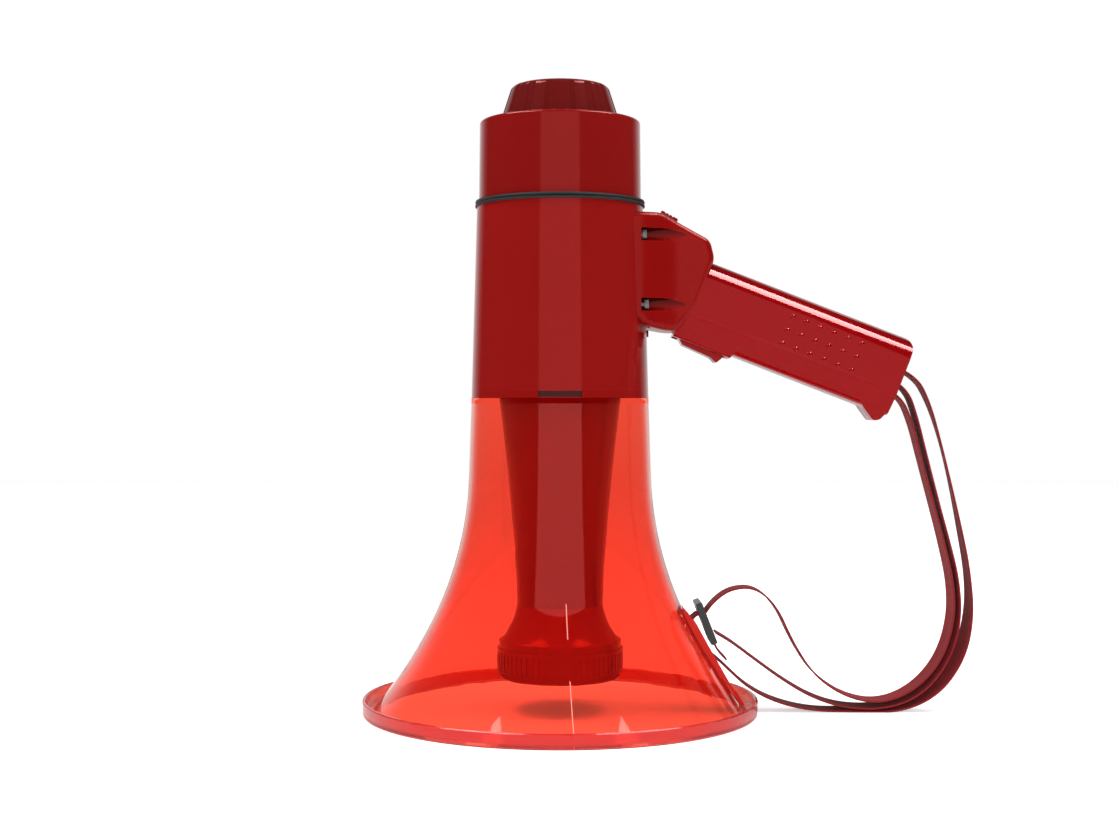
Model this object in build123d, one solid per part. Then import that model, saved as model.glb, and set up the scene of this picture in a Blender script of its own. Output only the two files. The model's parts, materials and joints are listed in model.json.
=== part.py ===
from build123d import *
import os
from math import atan2, cos, degrees, hypot, pi, radians, sin, sqrt, tan

# Handheld megaphone with a folded (re-entrant) horn, in millimetres.
# The horn's axis is Z. The bell stands mouth down on Z = 0, the handle points to +X,
# and the person who speaks is above the volume knob at the top.

# ---------------------------------------------------------------- driving dimensions
mouth_radius = 115.0        # outside of the bell's turned-up lip
lip_height = 8.5
lip_wall = 2.0
bell_wall = 2.0
bell_height = 187.0         # mouth to the shoulder that the body stands on
neck_radius = 51.5          # bell and body where they meet
neck_taper = 0.033          # growth of radius per millimetre towards the mouth
trough_width = 2.8          # gap between the flare and the lip, at the mouth
flare_start = 140.0         # height where the flare begins
flare_power = 2.14
body_height = 106.7
body_top_radius = 48.4
body_wall = 2.5
gasket_height = 3.3
cover_height = 46.3         # gasket to the knob's seat
cover_bottom_radius = 47.2
cover_top_radius = 46.7
cover_wall = 2.3
shoulder_radius = 4.6
knob_base_radius = 34.7
knob_top_radius = 29.3
knob_height = 21.7
flute_count = 16
horn_wall = 1.8
horn_throat_radius = 25.3   # outside of the inner horn at its narrow end
horn_bottom = 62.0
horn_top = 193.0
cap_radius = 36.7
cap_bottom = 19.6
cap_rib_count = 60
bracket_half_width = 24.0
grip_half_width = 16.0
grip_tilt = 21.2            # degrees the grip leans from square, towards the bell
grip_length = 124.9
grip_back = 23.2            # grip axis to its back
grip_front = 22.9           # grip axis to its front strap
grip_wall = 2.4
cell_radius = 12.9          # a C cell
cell_length = 50.0
cell_count = 6
strap_width = 15.0
strap_thickness = 1.1

# clearances
slip = 0.15                 # radial gap between pieces that are fixed together
run = 0.30                  # gap between pieces that move past each other

# ---------------------------------------------------------------- sizes worked out
flare_growth = mouth_radius - lip_wall - trough_width - neck_radius - neck_taper * bell_height
body_top = bell_height + body_height
gasket_top = body_top + gasket_height
cover_bottom = gasket_top + 0.2
cover_top = gasket_top + cover_height
knob_bottom = cover_top + run
knob_top = knob_bottom + knob_height


# ---------------------------------------------------------------- helpers
def turned(points, radii=None):
    """Solid of revolution about Z from (radius, height) corners, each rounded by its radius."""
    corners = [(r, 0, z) for r, z in points]
    if radii is None:
        edge = Polyline(*corners, close=True)
    else:
        edge = FilletPolyline(*corners, radius=radii, close=True)
    return revolve(make_face(edge.edges()), Axis.Z)


def ring(inner, outer, bottom, top):
    """Plain washer or sleeve about Z."""
    return turned([(inner, bottom), (outer, bottom), (outer, top), (inner, top)])


def disc(radius, bottom, top):
    return Pos(0, 0, bottom) * Cylinder(radius, top - bottom, align=(Align.CENTER, Align.CENTER, Align.MIN))


def plate(points, low_y, high_y, radii=None):
    """An outline of (x, z) corners, given a thickness from low_y to high_y."""
    corners = [(x, low_y, z) for x, z in points]
    if radii is None:
        edge = Polyline(*corners, close=True)
    else:
        edge = FilletPolyline(*corners, radius=radii, close=True)
    return extrude(make_face(edge.edges()), amount=high_y - low_y, dir=(0, 1, 0))


def block(low, high):
    """Box between two corners."""
    size = [b - a for a, b in zip(low, high)]
    return Pos(*low) * Box(*size, align=(Align.MIN, Align.MIN, Align.MIN))


def rod(start, end, radius):
    """Round bar between two points."""
    axis = Vector(*end) - Vector(*start)
    return extrude(Plane(origin=start, z_dir=axis) * Circle(radius), axis.length)


def around(piece, count, first=0.0):
    """Copies of a piece, evenly spaced about Z."""
    return [Rot(0, 0, first + 360 * i / count) * piece for i in range(count)]


# ---------------------------------------------------------------- bell
def bell_radius(z):
    """Outside of the bell at a height: a slow cone that opens into a power-law flare."""
    rise = max(0.0, 1 - z / flare_start)
    return neck_radius + neck_taper * (bell_height - z) + flare_growth * rise ** flare_power


def bell_slope(z):
    rise = max(0.0, 1 - z / flare_start)
    return -neck_taper - flare_growth * flare_power / flare_start * rise ** (flare_power - 1)


def bell_inside(z, wall=bell_wall):
    """Inside of the bell at a height, one wall in from the outside along its normal."""
    return bell_radius(z) - wall * sqrt(1 + bell_slope(z) ** 2)


spigot_length = 12.0
spigot_radius = neck_radius - (neck_radius - body_top_radius) * spigot_length / body_height - body_wall - slip
spigot_wall = 2.0
spigot_inside = spigot_radius - spigot_wall
step_bottom = bell_height - 6.0     # where the bell's inside narrows to the spigot
flare_samples = [0.0, 12.0, 28.0, 48.0, 74.0, 104.0, 136.0]

lug_top = 61.0
lug_bar_top = 52.0
lug_bar_bottom = 39.0
lug_rise = 3.6
lug_bar_thickness = 1.4
lug_ear = 2.5


def bell_curve(radius_at, lowest):
    """Edge along the bell's flare, from a lowest height up to where the neck is straight."""
    heights = [lowest] + [z for z in flare_samples if z > lowest + 4]
    return Spline(*[(radius_at(z), 0, z) for z in heights])


def lug_line():
    """Outer edge of the strap lug's ears, from the top down to the lip."""
    low = lip_height * 0.6
    return [(bell_radius(lug_top) + 0.2, lug_top),
            (bell_radius(lug_bar_top) + lug_rise, lug_bar_top),
            (bell_radius(lug_bar_bottom) + lug_rise, lug_bar_bottom),
            (bell_radius(16.0) + 1.6, 16.0),
            (bell_radius(low) + 0.8, low)]


def make_bell():
    floor = bell_wall
    lip_inside = mouth_radius - lip_wall
    straight = flare_samples[-1]
    outside = bell_curve(bell_radius, floor)
    inside = bell_curve(bell_inside, 0.0)
    seam = [(bell_radius(floor), floor), (lip_inside, floor), (lip_inside, lip_height - 0.5),
            (lip_inside + 0.5, lip_height), (mouth_radius - 0.5, lip_height),
            (mouth_radius, lip_height - 0.5), (mouth_radius - 0.4, 0.5),
            (mouth_radius - 0.9, 0.0), (bell_inside(0.0), 0.0)]
    crown = [(bell_inside(straight), straight), (bell_inside(step_bottom), step_bottom),
             (spigot_inside, step_bottom + 1.9), (spigot_inside, bell_height + spigot_length),
             (spigot_radius, bell_height + spigot_length), (spigot_radius, bell_height),
             (neck_radius, bell_height), (bell_radius(straight), straight)]
    edges = [outside, inside]
    edges += Polyline(*[(r, 0, z) for r, z in seam]).edges()
    edges += Polyline(*[(r, 0, z) for r, z in crown]).edges()
    return revolve(make_face(edges), Axis.Z)


def make_strap_lug():
    """Two ears welded to the bell's flank, and the bar between them that carries the strap."""
    line = lug_line()
    gap = strap_width / 2 + 1.5
    ear_outline = line + [(line[-1][0] - 12, line[-1][1]), (line[0][0] - 12, line[0][1])]
    bar_outline = [line[1], line[2]]
    across = atan2(line[2][1] - line[1][1], line[2][0] - line[1][0]) - pi / 2
    inward = (lug_bar_thickness * cos(across), lug_bar_thickness * sin(across))
    bar_outline += [(x + inward[0], z + inward[1]) for x, z in reversed(bar_outline)]
    foot = bell_wall
    top = flare_samples[-1]
    flank = revolve(make_face([
        bell_curve(bell_radius, foot),
        *Polyline((bell_radius(foot), 0, foot), (0, 0, foot), (0, 0, top),
                  (bell_radius(top), 0, top)).edges()]), Axis.Z)
    lug = plate(bar_outline, -gap - 0.5, gap + 0.5)
    for side in (-1, 1):
        near, far = sorted((side * gap, side * (gap + lug_ear)))
        lug += plate(ear_outline, near, far) - flank
    return lug


# ---------------------------------------------------------------- inner horn and driver
def horn_radius(z):
    """Outside of the inner horn: it opens from its throat towards the body."""
    return horn_throat_radius + 0.01825 * max(0.0, z - 72.0) ** 1.344


def make_inner_horn():
    heights = [80.0, 100.0, 125.0, 158.0, horn_top]
    outside = Spline(*[(horn_radius(z), 0, z) for z in heights])
    inside = Spline(*[(horn_radius(z) - horn_wall, 0, z) for z in heights])
    low_inside = horn_throat_radius - horn_wall
    foot = Polyline((horn_radius(80), 0, 80), (horn_throat_radius, 0, horn_bottom),
                    (low_inside, 0, horn_bottom), (horn_radius(80) - horn_wall, 0, 80))
    rim = Line((horn_radius(horn_top), 0, horn_top), (horn_radius(horn_top) - horn_wall, 0, horn_top))
    return revolve(make_face([outside, inside, rim] + foot.edges()), Axis.Z)


spider_bottom = bell_height - 4.0
spider_ring = spigot_inside - 0.1
spider_sleeve = 1.9
leg_count = 3
leg_width = 20.0
leg_height = 4.0
pad_width = 24.0
pad_depth = 0.9
cup_seat = bell_height + spigot_length


def make_horn_spider():
    """Sleeve in the bell's spigot, with three legs to a collar that grips the inner horn."""
    sleeve = ring(spider_ring - spider_sleeve, spider_ring, spider_bottom, cup_seat)
    grip = 0.05
    collar_top = spider_bottom + 6.0
    collar = turned([(horn_radius(spider_bottom) + grip, spider_bottom),
                     (horn_radius(spider_bottom) + 2.2, spider_bottom),
                     (horn_radius(collar_top) + 2.0, collar_top),
                     (horn_radius(collar_top) + grip, collar_top)])
    leg = block((horn_radius(spider_bottom) + 1.2, -leg_width / 2, spider_bottom),
                (spider_ring - 1.4, leg_width / 2, spider_bottom + leg_height))
    spider = sleeve + collar
    for arm in around(leg, leg_count, -90):
        spider += arm
    for notch in around(pad_space(0.0), leg_count, -90):
        spider -= notch
    return spider


def pad_space(shrink):
    """Curved pocket in the outside of the sleeve, at +X."""
    hoop = ring(spider_ring - pad_depth + shrink, spider_ring + 1, spider_bottom + 0.6, spider_bottom + 3.6)
    reach = block((0, -pad_width / 2, spider_bottom), (60, pad_width / 2, spider_bottom + leg_height))
    return hoop & reach


def make_spider_pads():
    """Rubber pads that keep the spider from buzzing in the bell."""
    outside = disc(spider_ring, spider_bottom, spider_bottom + leg_height)
    return [pad & outside for pad in around(pad_space(0.0), leg_count, -90)]


flange_radius = cap_radius - 1.1
flange_bottom = 37.2
flange_top = 42.4


def make_driver_housing():
    """Bell-shaped collar between the inner horn and the driver cap."""
    throat = horn_throat_radius
    bore = flange_radius - 6.1
    ledge = flange_bottom + 2.0
    outside = Spline((flange_radius - 1.6, 0, flange_top), (throat + 5.0, 0, 47.5), (throat + 2.1, 0, 53.5),
                     (throat, 0, horn_bottom))
    inside = Spline((throat - 1.3, 0, ledge), (throat - 2.1, 0, 46.0), (throat - 2.9, 0, 54.0),
                    (throat - horn_wall, 0, horn_bottom))
    top = Line((throat, 0, horn_bottom), (throat - horn_wall, 0, horn_bottom))
    flange = Polyline((throat - 1.3, 0, ledge), (bore, 0, ledge), (bore, 0, flange_bottom),
                      (flange_radius, 0, flange_bottom), (flange_radius, 0, flange_top - 0.8),
                      (flange_radius - 0.8, 0, flange_top), (flange_radius - 1.6, 0, flange_top))
    return revolve(make_face([outside, inside, top] + flange.edges()), Axis.Z)


cap_ring_bottom = 23.3
cap_wall = 2.2
rib_depth = 0.5
cap_floor_top = cap_bottom + 2.0


def make_driver_cap():
    """Screwed ring with fine grip ribs and a rounded front face over the magnet."""
    band = cap_radius - 1.3
    cap = turned([(0, cap_bottom), (band, cap_bottom), (band, cap_ring_bottom), (cap_radius, cap_ring_bottom),
                  (cap_radius, flange_bottom), (flange_radius - cap_wall, flange_bottom),
                  (flange_radius - cap_wall, cap_floor_top), (0, cap_floor_top)],
                 [0, 1.4, 0, 0, 0, 0, 0, 0])
    groove_pitch = 2 * pi * cap_radius / cap_rib_count
    groove = block((cap_radius - rib_depth, -groove_pitch / 4, cap_ring_bottom + 0.8),
                   (cap_radius + 1, groove_pitch / 4, flange_bottom - 2.2))
    return cap - around(groove, cap_rib_count)


magnet_radius = 30.0
pole_radius = 12.4
back_plate_top = cap_floor_top + 3.0
magnet_top = back_plate_top + 7.0
pole_plate_top = magnet_top + 3.5
coil_radius = 12.9
dome_rim = pole_plate_top + 1.4


def make_back_plate():
    """Yoke: a disc with the pole piece standing in its centre."""
    plate_disc = disc(magnet_radius, cap_floor_top, back_plate_top)
    return plate_disc + disc(pole_radius, back_plate_top, pole_plate_top)


def make_ring_magnet():
    return ring(16.0, magnet_radius, back_plate_top, magnet_top)


def make_top_plate():
    return ring(coil_radius + 0.9, magnet_radius, magnet_top, pole_plate_top)


def make_voice_coil():
    return ring(coil_radius - 0.2, coil_radius + 0.35, magnet_top + 0.6, dome_rim)


def make_diaphragm():
    """Thin dome with a flat rim clamped under the driver housing."""
    rise = 4.5
    skin = 0.5
    reach = coil_radius + 0.35
    ball = (reach ** 2 + rise ** 2) / (2 * rise)
    centre = Pos(0, 0, dome_rim + rise - ball)
    dome = centre * Sphere(ball + skin) - centre * Sphere(ball)
    dome -= disc(3 * ball, dome_rim - 3 * ball, dome_rim)
    return dome + ring(reach - 0.1, magnet_radius - 2, dome_rim, dome_rim + skin)


def make_phase_plug():
    """Throat piece above the dome: a bridged ring that carries the bullet."""
    seat = dome_rim + 1.2
    hoop = ring(20.0, 23.0, seat, seat + 6.0)
    bullet = turned([(0, seat + 5.2), (8.5, seat + 5.2), (7.0, seat + 11.0), (2.5, seat + 17.5),
                     (0, seat + 18.0)])
    plug = hoop + bullet
    for arm in around(block((7.5, -1.2, seat + 3.2), (21, 1.2, seat + 8.0)), 3):
        plug += arm - turned([(0, seat - 4), (14, seat - 4), (0.01, seat + 5.2), (0, seat + 5.2)])
    return plug


# ---------------------------------------------------------------- body
def body_radius(z):
    """Outside of the body at a height."""
    share = (z - bell_height) / body_height
    return neck_radius + (body_top_radius - neck_radius) * share


collar_height = 8.0
collar_radius = cover_bottom_radius - cover_wall - run
collar_wall = 2.2
ledge_height = cup_seat + 3.0
cup_top = cup_seat + 30.0
board_bottom = cup_top + 11.0
board_thickness = 1.6
shelf_height = board_bottom + 9.0
boss_radius = 4.2
boss_y = bracket_half_width - 3.4
boss_end = body_top_radius - 16.4
screw_heights = (body_top - 17.6, body_top - 57.6)
screw_head_radius = 3.4
screw_shank_radius = 1.9
screw_length = 13.0
wire_hole = 5.0
peg_height = body_top - 73.5      # locating peg under the bracket's foot
peg_radius = 2.0
holder_radius = collar_radius - collar_wall - 1.0
cup_radius = spigot_radius - 3.0


def screw_seat(z):
    """Where a bracket screw's head bears: just clear of the body's curve beside the head."""
    return sqrt(body_radius(z) ** 2 - (boss_y - screw_head_radius) ** 2) + 1.2


def make_front_body():
    """Tapered tube that joins the bell, carries the bracket and holds the batteries."""
    top_inside = body_radius(body_top - 6) - body_wall
    throat = collar_radius - collar_wall
    skin = turned([(body_radius(bell_height) - body_wall, bell_height), (neck_radius, bell_height),
                   (body_top_radius, body_top), (collar_radius, body_top),
                   (collar_radius, body_top + collar_height), (throat, body_top + collar_height),
                   (throat, body_top - 3), (top_inside, body_top - 6)])
    for low, inside in ((ledge_height, cup_radius + run), (shelf_height - 2.0, holder_radius - 2.0)):
        skin += ring(inside, body_radius(low) - body_wall / 2, low, low + 2.0)
    for z in screw_heights:
        for y in (-boss_y, boss_y):
            boss = rod((boss_end, y, z), (body_radius(z), y, z), boss_radius)
            skin += boss & disc(body_radius(z + boss_radius) - body_wall / 2, z - 9, z + 9)
    for z in screw_heights:
        for y in (-boss_y, boss_y):
            skin -= rod((boss_end - 1, y, z), (60, y, z), screw_shank_radius)
    peg_foot = body_radius(peg_height) - 1.5
    peg = rod((peg_foot, 0, peg_height), (peg_foot + 2.5, 0, peg_height), peg_radius)
    return skin + peg - rod((boss_end, 0, body_top - 30), (neck_radius + 5, 0, body_top - 30), wire_hole)


def make_reflector_cup():
    """Cup that turns the sound back from the inner horn into the bell."""
    seat = cup_seat
    rim = spigot_radius - 0.05
    outer = cup_radius
    return turned([(rim, seat), (rim, seat + 3), (outer, seat + 3), (outer, seat + 14), (36.0, cup_top),
                   (0, cup_top), (0, seat + 12), (6.0, seat + 18.5), (16.0, cup_top - 3.4), (30.0, cup_top - 3.4),
                   (outer - 2.4, seat + 12), (spider_ring - spider_sleeve, seat)],
                  [0, 0, 0, 12, 10, 0, 0, 8, 5, 10, 6, 0])


def make_circuit_board():
    """Amplifier board on the cup's roof, notched round the bracket's screw bosses."""
    board = disc(cup_radius - 5.4, board_bottom, board_bottom + board_thickness)
    for y in (-boss_y, boss_y):
        board -= block((boss_end - 2, y - boss_radius - 1, board_bottom - 1),
                       (neck_radius, y + boss_radius + 1, board_bottom + 4))
    return board - rod((0, 0, board_bottom - 1), (0, 0, board_bottom + 4), 3.0)


def make_board_posts():
    """Standoffs between the reflector cup and the amplifier board."""
    post = ring(1.4, 3.0, cup_top, board_bottom)
    return [Pos(24 * cos(radians(a)), 24 * sin(radians(a)), 0) * post for a in (60, 180, 300)]


def make_output_transformer():
    """Laminated core with its bobbin, standing on the amplifier board."""
    low = board_bottom + board_thickness
    core = block((-24, -9, low), (-6, 9, low + 5.4)) - block((-20.5, -10, low + 1.6), (-16.5, 10, low + 3.8)) \
        - block((-13.5, -10, low + 1.6), (-9.5, 10, low + 3.8))
    return core


def make_capacitors():
    low = board_bottom + board_thickness
    can = chamfer(disc(3.4, low, low + 5.4).edges().sort_by(Axis.Z)[-1], 0.5)
    return [Pos(x, y, 0) * can for x, y in ((6, 14), (15, 14), (6, -14), (15, -14))]


def make_heat_sink():
    """Finned block behind the output transistors."""
    low = board_bottom + board_thickness
    sink = block((18, -8, low), (30, 8, low + 1.4))
    for i in range(5):
        y = -8 + i * 3.7
        sink += block((18, y, low), (30, y + 1.2, low + 5.4))
    return sink


# ---------------------------------------------------------------- batteries
holder_bottom = shelf_height
holder_floor = 2.4
cell_ring = holder_radius - cell_radius - 2.3
cell_bottom = holder_bottom + holder_floor + 3.6
cell_top = cell_bottom + cell_length
lid_thickness = 2.4
column_radius = 8.0


def cell_places():
    angles = [60 * i for i in range(cell_count)]
    return [(cell_ring * cos(radians(a)), cell_ring * sin(radians(a)), a) for a in angles]


def boss_notches(low, high):
    return [block((boss_end - 3, y - boss_radius - 1, low), (60, y + boss_radius + 1, high))
            for y in (-boss_y, boss_y)]


def make_battery_holder():
    """Tray with a centre column and a low wall round each cell."""
    floor_top = holder_bottom + holder_floor
    radius = holder_radius
    tray = disc(radius, holder_bottom, floor_top) + ring(4.0, column_radius, holder_bottom, cell_top - 0.2)
    for x, y, _ in cell_places():
        sleeve = ring(cell_radius + run, cell_radius + run + 1.4, floor_top - 1, cell_bottom + 9.0)
        tray += (Pos(x, y, 0) * sleeve) & disc(radius, holder_bottom, cell_bottom + 9.0)
    for x, y, _ in cell_places():
        tray -= Pos(x, y, 0) * disc(cell_radius + run, floor_top, cell_bottom + 10.0)
    for notch in boss_notches(holder_bottom - 1, cell_bottom + 20.0):
        tray -= notch
    return tray


def make_battery_cells():
    can = disc(cell_radius, cell_bottom, cell_top - 1.8)
    nub = disc(3.4, cell_top - 1.8, cell_top)
    cell = can + nub
    return [Pos(x, y, 0) * cell for x, y, _ in cell_places()]


def make_battery_springs():
    """Bent strips that press the cells against the lid's contacts."""
    low = holder_bottom + holder_floor
    strip = plate([(-7, low), (6, low), (6, low + 0.4), (-5.6, low + 0.4), (2.2, cell_bottom - 0.45),
                   (7.2, cell_bottom - 0.45), (7.2, cell_bottom), (2.0, cell_bottom), (-7, low + 0.8)], -2.5, 2.5)
    return [Pos(x, y, 0) * Rot(0, 0, turn + 180) * strip for x, y, turn in cell_places()]


def make_battery_lid():
    """Disc over the cells, held by one screw in the column."""
    low = cell_top + 0.4
    return ring(2.1, holder_radius - 1.4, low, low + lid_thickness)


def make_lid_contacts():
    """Three strips that each bridge two neighbouring cells."""
    low = cell_top
    strips = []
    places = cell_places()
    for i in range(0, cell_count, 2):
        a, b = places[i], places[i + 1]
        middle = ((a[0] + b[0]) / 2, (a[1] + b[1]) / 2)
        turn = degrees(atan2(b[1] - a[1], b[0] - a[0]))
        length = hypot(b[0] - a[0], b[1] - a[1]) + 10
        strip = Pos(middle[0], middle[1], low + 0.2) * Rot(0, 0, turn) * Box(length, 7, 0.4)
        strips.append(strip)
    return strips


def make_lid_screw():
    low = cell_top + 0.4 + lid_thickness
    return disc(3.8, low, low + 2.2) + disc(2.0, low - 14, low)


def make_body_gasket():
    """Black rubber ring with two lips between the body and the rear cover."""
    proud = body_top_radius + 1.0
    middle = (body_top + gasket_top) / 2
    return turned([(collar_radius + 0.05, body_top), (proud, body_top), (proud, middle - 0.7),
                   (proud - 0.8, middle), (proud, middle + 0.7), (proud - 0.3, gasket_top),
                   (collar_radius + 0.05, gasket_top)])


# ---------------------------------------------------------------- rear cover group
roof_bottom = cover_top - cover_wall
hub_radius = 9.2
hub_bore = 6.1
stem_radius = 5.8
post_radius = 2.6
post_ring = 27.0
mic_board_top = roof_bottom - 16.0
pot_radius = 18.0
pot_bottom = roof_bottom - 9.0


def make_rear_cover():
    """Cap over the batteries, with a rounded shoulder and a flat roof under the knob."""
    hole = hub_radius + run
    cover = turned([(cover_bottom_radius, cover_bottom), (cover_top_radius, cover_top), (hole, cover_top),
                    (hole, roof_bottom), (cover_top_radius - cover_wall, roof_bottom),
                    (cover_bottom_radius - cover_wall, cover_bottom)],
                   [0, shoulder_radius, 0, 0, shoulder_radius - cover_wall, 0])
    post = ring(1.2, post_radius, mic_board_top, roof_bottom + 0.5)
    for a in (30, 150, 270):
        cover += Pos(post_ring * cos(radians(a)), post_ring * sin(radians(a)), 0) * post
    return cover


knob_wall = 2.0
crown_height = 4.2          # rounding between the knob's flutes and its top
mouthpiece_radius = 15.2
knob_shelf = knob_top - 8.0


def make_volume_knob():
    """Fluted dome that turns round the microphone."""
    bore = mouthpiece_radius + run
    side_lean = atan2(knob_base_radius - knob_top_radius, knob_height - crown_height)
    crown = knob_top_radius - tan(side_lean) * crown_height
    knob = turned([(knob_base_radius, knob_bottom), (crown, knob_top - 1.2), (bore, knob_top - 0.6),
                   (bore, knob_shelf), (hub_bore, knob_shelf), (hub_bore, pot_bottom - 2.5),
                   (hub_radius, pot_bottom - 2.5), (hub_radius, knob_shelf - knob_wall),
                   (knob_top_radius - 5.0, knob_shelf - knob_wall),
                   (knob_base_radius - knob_wall - 0.6, knob_bottom)],
                  [0, crown_height, 0, 0, 0, 0, 0, 0, 0, 0])
    cutter_radius = 5.0
    flute_depth = 1.1
    foot = (knob_base_radius + cutter_radius - flute_depth, 0, knob_bottom)
    cutter = Pos(*foot) * Rot(0, -degrees(side_lean), 0) * Pos(0, 0, 2.2) * Cylinder(
        cutter_radius, 30, align=(Align.CENTER, Align.CENTER, Align.MIN))
    return knob - around(cutter, flute_count, 360 / flute_count / 2)


def make_knob_clip():
    """Ring under the potentiometer that keeps the knob down."""
    return ring(hub_radius, hub_radius + 1.8, pot_bottom - 1.6, pot_bottom - 0.4)


def make_volume_potentiometer():
    """Ring-shaped potentiometer on the roof's underside, with its three tags."""
    body = ring(hub_radius + run, pot_radius, pot_bottom, roof_bottom)
    for y in (-4, 0, 4):
        body += block((pot_radius - 0.5, y - 0.8, pot_bottom + 1), (pot_radius + 4, y + 0.8, pot_bottom + 1.5))
    return body


def make_mic_holder():
    """Stem through the knob, with the cup that holds the microphone."""
    cup_floor = knob_shelf + run
    cup_top = knob_top - 1.6
    return turned([(2.0, mic_board_top), (stem_radius, mic_board_top), (stem_radius, cup_floor),
                   (mouthpiece_radius - 0.1, cup_floor), (mouthpiece_radius - 0.1, cup_top),
                   (mouthpiece_radius - 1.4, cup_top), (mouthpiece_radius - 1.4, cup_floor + 1.2),
                   (2.0, cup_floor + 1.2)])


def make_mic_capsule():
    low = knob_shelf + run + 1.2
    capsule = disc(9.0, low, low + 4.0)
    return capsule - ring(6.2, 7.4, low + 3.6, low + 5)


def make_mic_grille():
    """Slightly raised disc with a boss in the middle and rings of sound holes."""
    low = knob_top - 1.6
    edge = mouthpiece_radius - 0.1
    grille = turned([(0, low + 0.7), (edge - 2, low), (edge, low), (edge, low + 1.0), (edge - 1.0, low + 1.5),
                     (6.8, low + 1.8), (6.3, low + 2.7), (0, low + 2.7)])
    hole = Pos(0, 0, low - 1) * Cylinder(0.9, 5, align=(Align.CENTER, Align.CENTER, Align.MIN))
    grille -= hole
    for radius, count in ((4.0, 6), (9.0, 12)):
        grille -= around(Pos(radius, 0, 0) * hole, count)
    return grille


def make_mic_board():
    return ring(1.8, post_ring + 4.0, mic_board_top - board_thickness, mic_board_top)


# ---------------------------------------------------------------- grip frame
# The grip is drawn lying along +X with its back up, then leaned and moved to its place.
grip_origin = (body_top_radius + 32.3, 0, body_top - 54.4)
grip_place = Pos(*grip_origin) * Rot(0, grip_tilt, 0)


def grip_point(u, v):
    """World (x, z) of a point u along the grip and v above its axis."""
    c, s = cos(radians(grip_tilt)), sin(radians(grip_tilt))
    return grip_origin[0] + u * c + v * s, grip_origin[2] - u * s + v * c


def grip_section(inset, low=None):
    """Half-rounded section of the grip: broad flat sides, round back, bevelled front strap."""
    half = grip_half_width - inset
    back = grip_back - inset
    front = -(grip_front - inset) if low is None else low
    return [(-half, back), (half, back), (half, -10.5), (half - 4.4, front), (-half + 4.4, front), (-half, -10.5)]


def grip_bar(points, start, end, radii):
    corners = [(start, y, v) for y, v in points]
    face = make_face(FilletPolyline(*corners, radius=radii, close=True).edges())
    return extrude(face, amount=end - start, dir=(1, 0, 0))


collar_length = 31.0
collar_front = 25.2
toe_drop = 6.2
back_round = 9.0
trigger_half = 7.5
trigger_gap = 0.5
slot_half = strap_width / 2 + 1.0
slot_low, slot_high = -11.8, 8.6
slot_depth = 13.0
bar_place = (grip_length - 6.0, -1.6)
bar_radius = 2.2
pin_place = (1.2, -22.3)
pin_radius = 1.25
grip_screws = ((38.0, 0.0), (104.0, 14.0), (104.0, -14.0))
grip_boss_radius = 3.4
root_start = -7.0


def root_cut(gap):
    """What the bracket's outline takes from the grip, with a gap along the seam."""
    face = offset(bracket_side(), amount=gap)
    return grip_place.inverse() * extrude(face, amount=80, dir=(0, 1, 0))


def grip_outside():
    """Whole outside of the grip before it is split into two shells."""
    grip = grip_bar(grip_section(0), root_start, grip_length, [back_round, back_round, 1.5, 4, 4, 1.5])
    swell = grip_bar([(-grip_half_width + 0.02, -6), (grip_half_width - 0.02, -6), (grip_half_width - 1.8, -17),
                      (grip_half_width - 3.4, -collar_front), (-grip_half_width + 3.4, -collar_front),
                      (-grip_half_width + 1.8, -17)], root_start, collar_length + 4, [0, 0, 3, 3, 3, 3])
    swell -= plate([(27.6, -27), (35.8, -5), (60, -5), (60, -27)], -30, 30)
    toe = plate([(105.5, -20.5), (111.5, -24.3), (118.2, -grip_front - toe_drop), (122.0, -grip_front - 4.0),
                 (grip_length, -19.5)], -grip_half_width + 3.2, grip_half_width - 3.2, [0, 6, 2.5, 1.5, 0])
    grip = grip + swell + toe
    grip -= root_cut(slip)
    corner = grip_length
    heel = plate([(corner - 7, grip_back + 1), (corner - 7, grip_back), (corner, grip_back - 7),
                  (corner + 1, grip_back - 7), (corner + 1, grip_back + 1)], -30, 30)
    heel -= Pos(corner - 7, -30, grip_back - 7) * Rot(-90, 0, 0) * Cylinder(
        7, 60, align=(Align.CENTER, Align.CENTER, Align.MIN))
    return grip - heel


def grip_inside():
    """Hollow of the grip, open towards the bracket."""
    hollow = grip_bar(grip_section(grip_wall), -14, grip_length - slot_depth - grip_wall - 2.0, [7, 7, 1, 3, 3, 1])
    return hollow + block((-3.0, -11.0, -22.8), (28.6, 11.0, -19.0))


def strap_slot():
    """Pocket in the grip's end where the webbing turns round the strap bar."""
    return block((grip_length - slot_depth, -slot_half, slot_low), (grip_length + 5, slot_half, slot_high))


def trigger_window(gap):
    """Opening in the grip's front for the trigger."""
    return block((-6.5 - gap, -trigger_half - gap, -32), (25.6 + gap, trigger_half + gap, -19.4))


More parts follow.
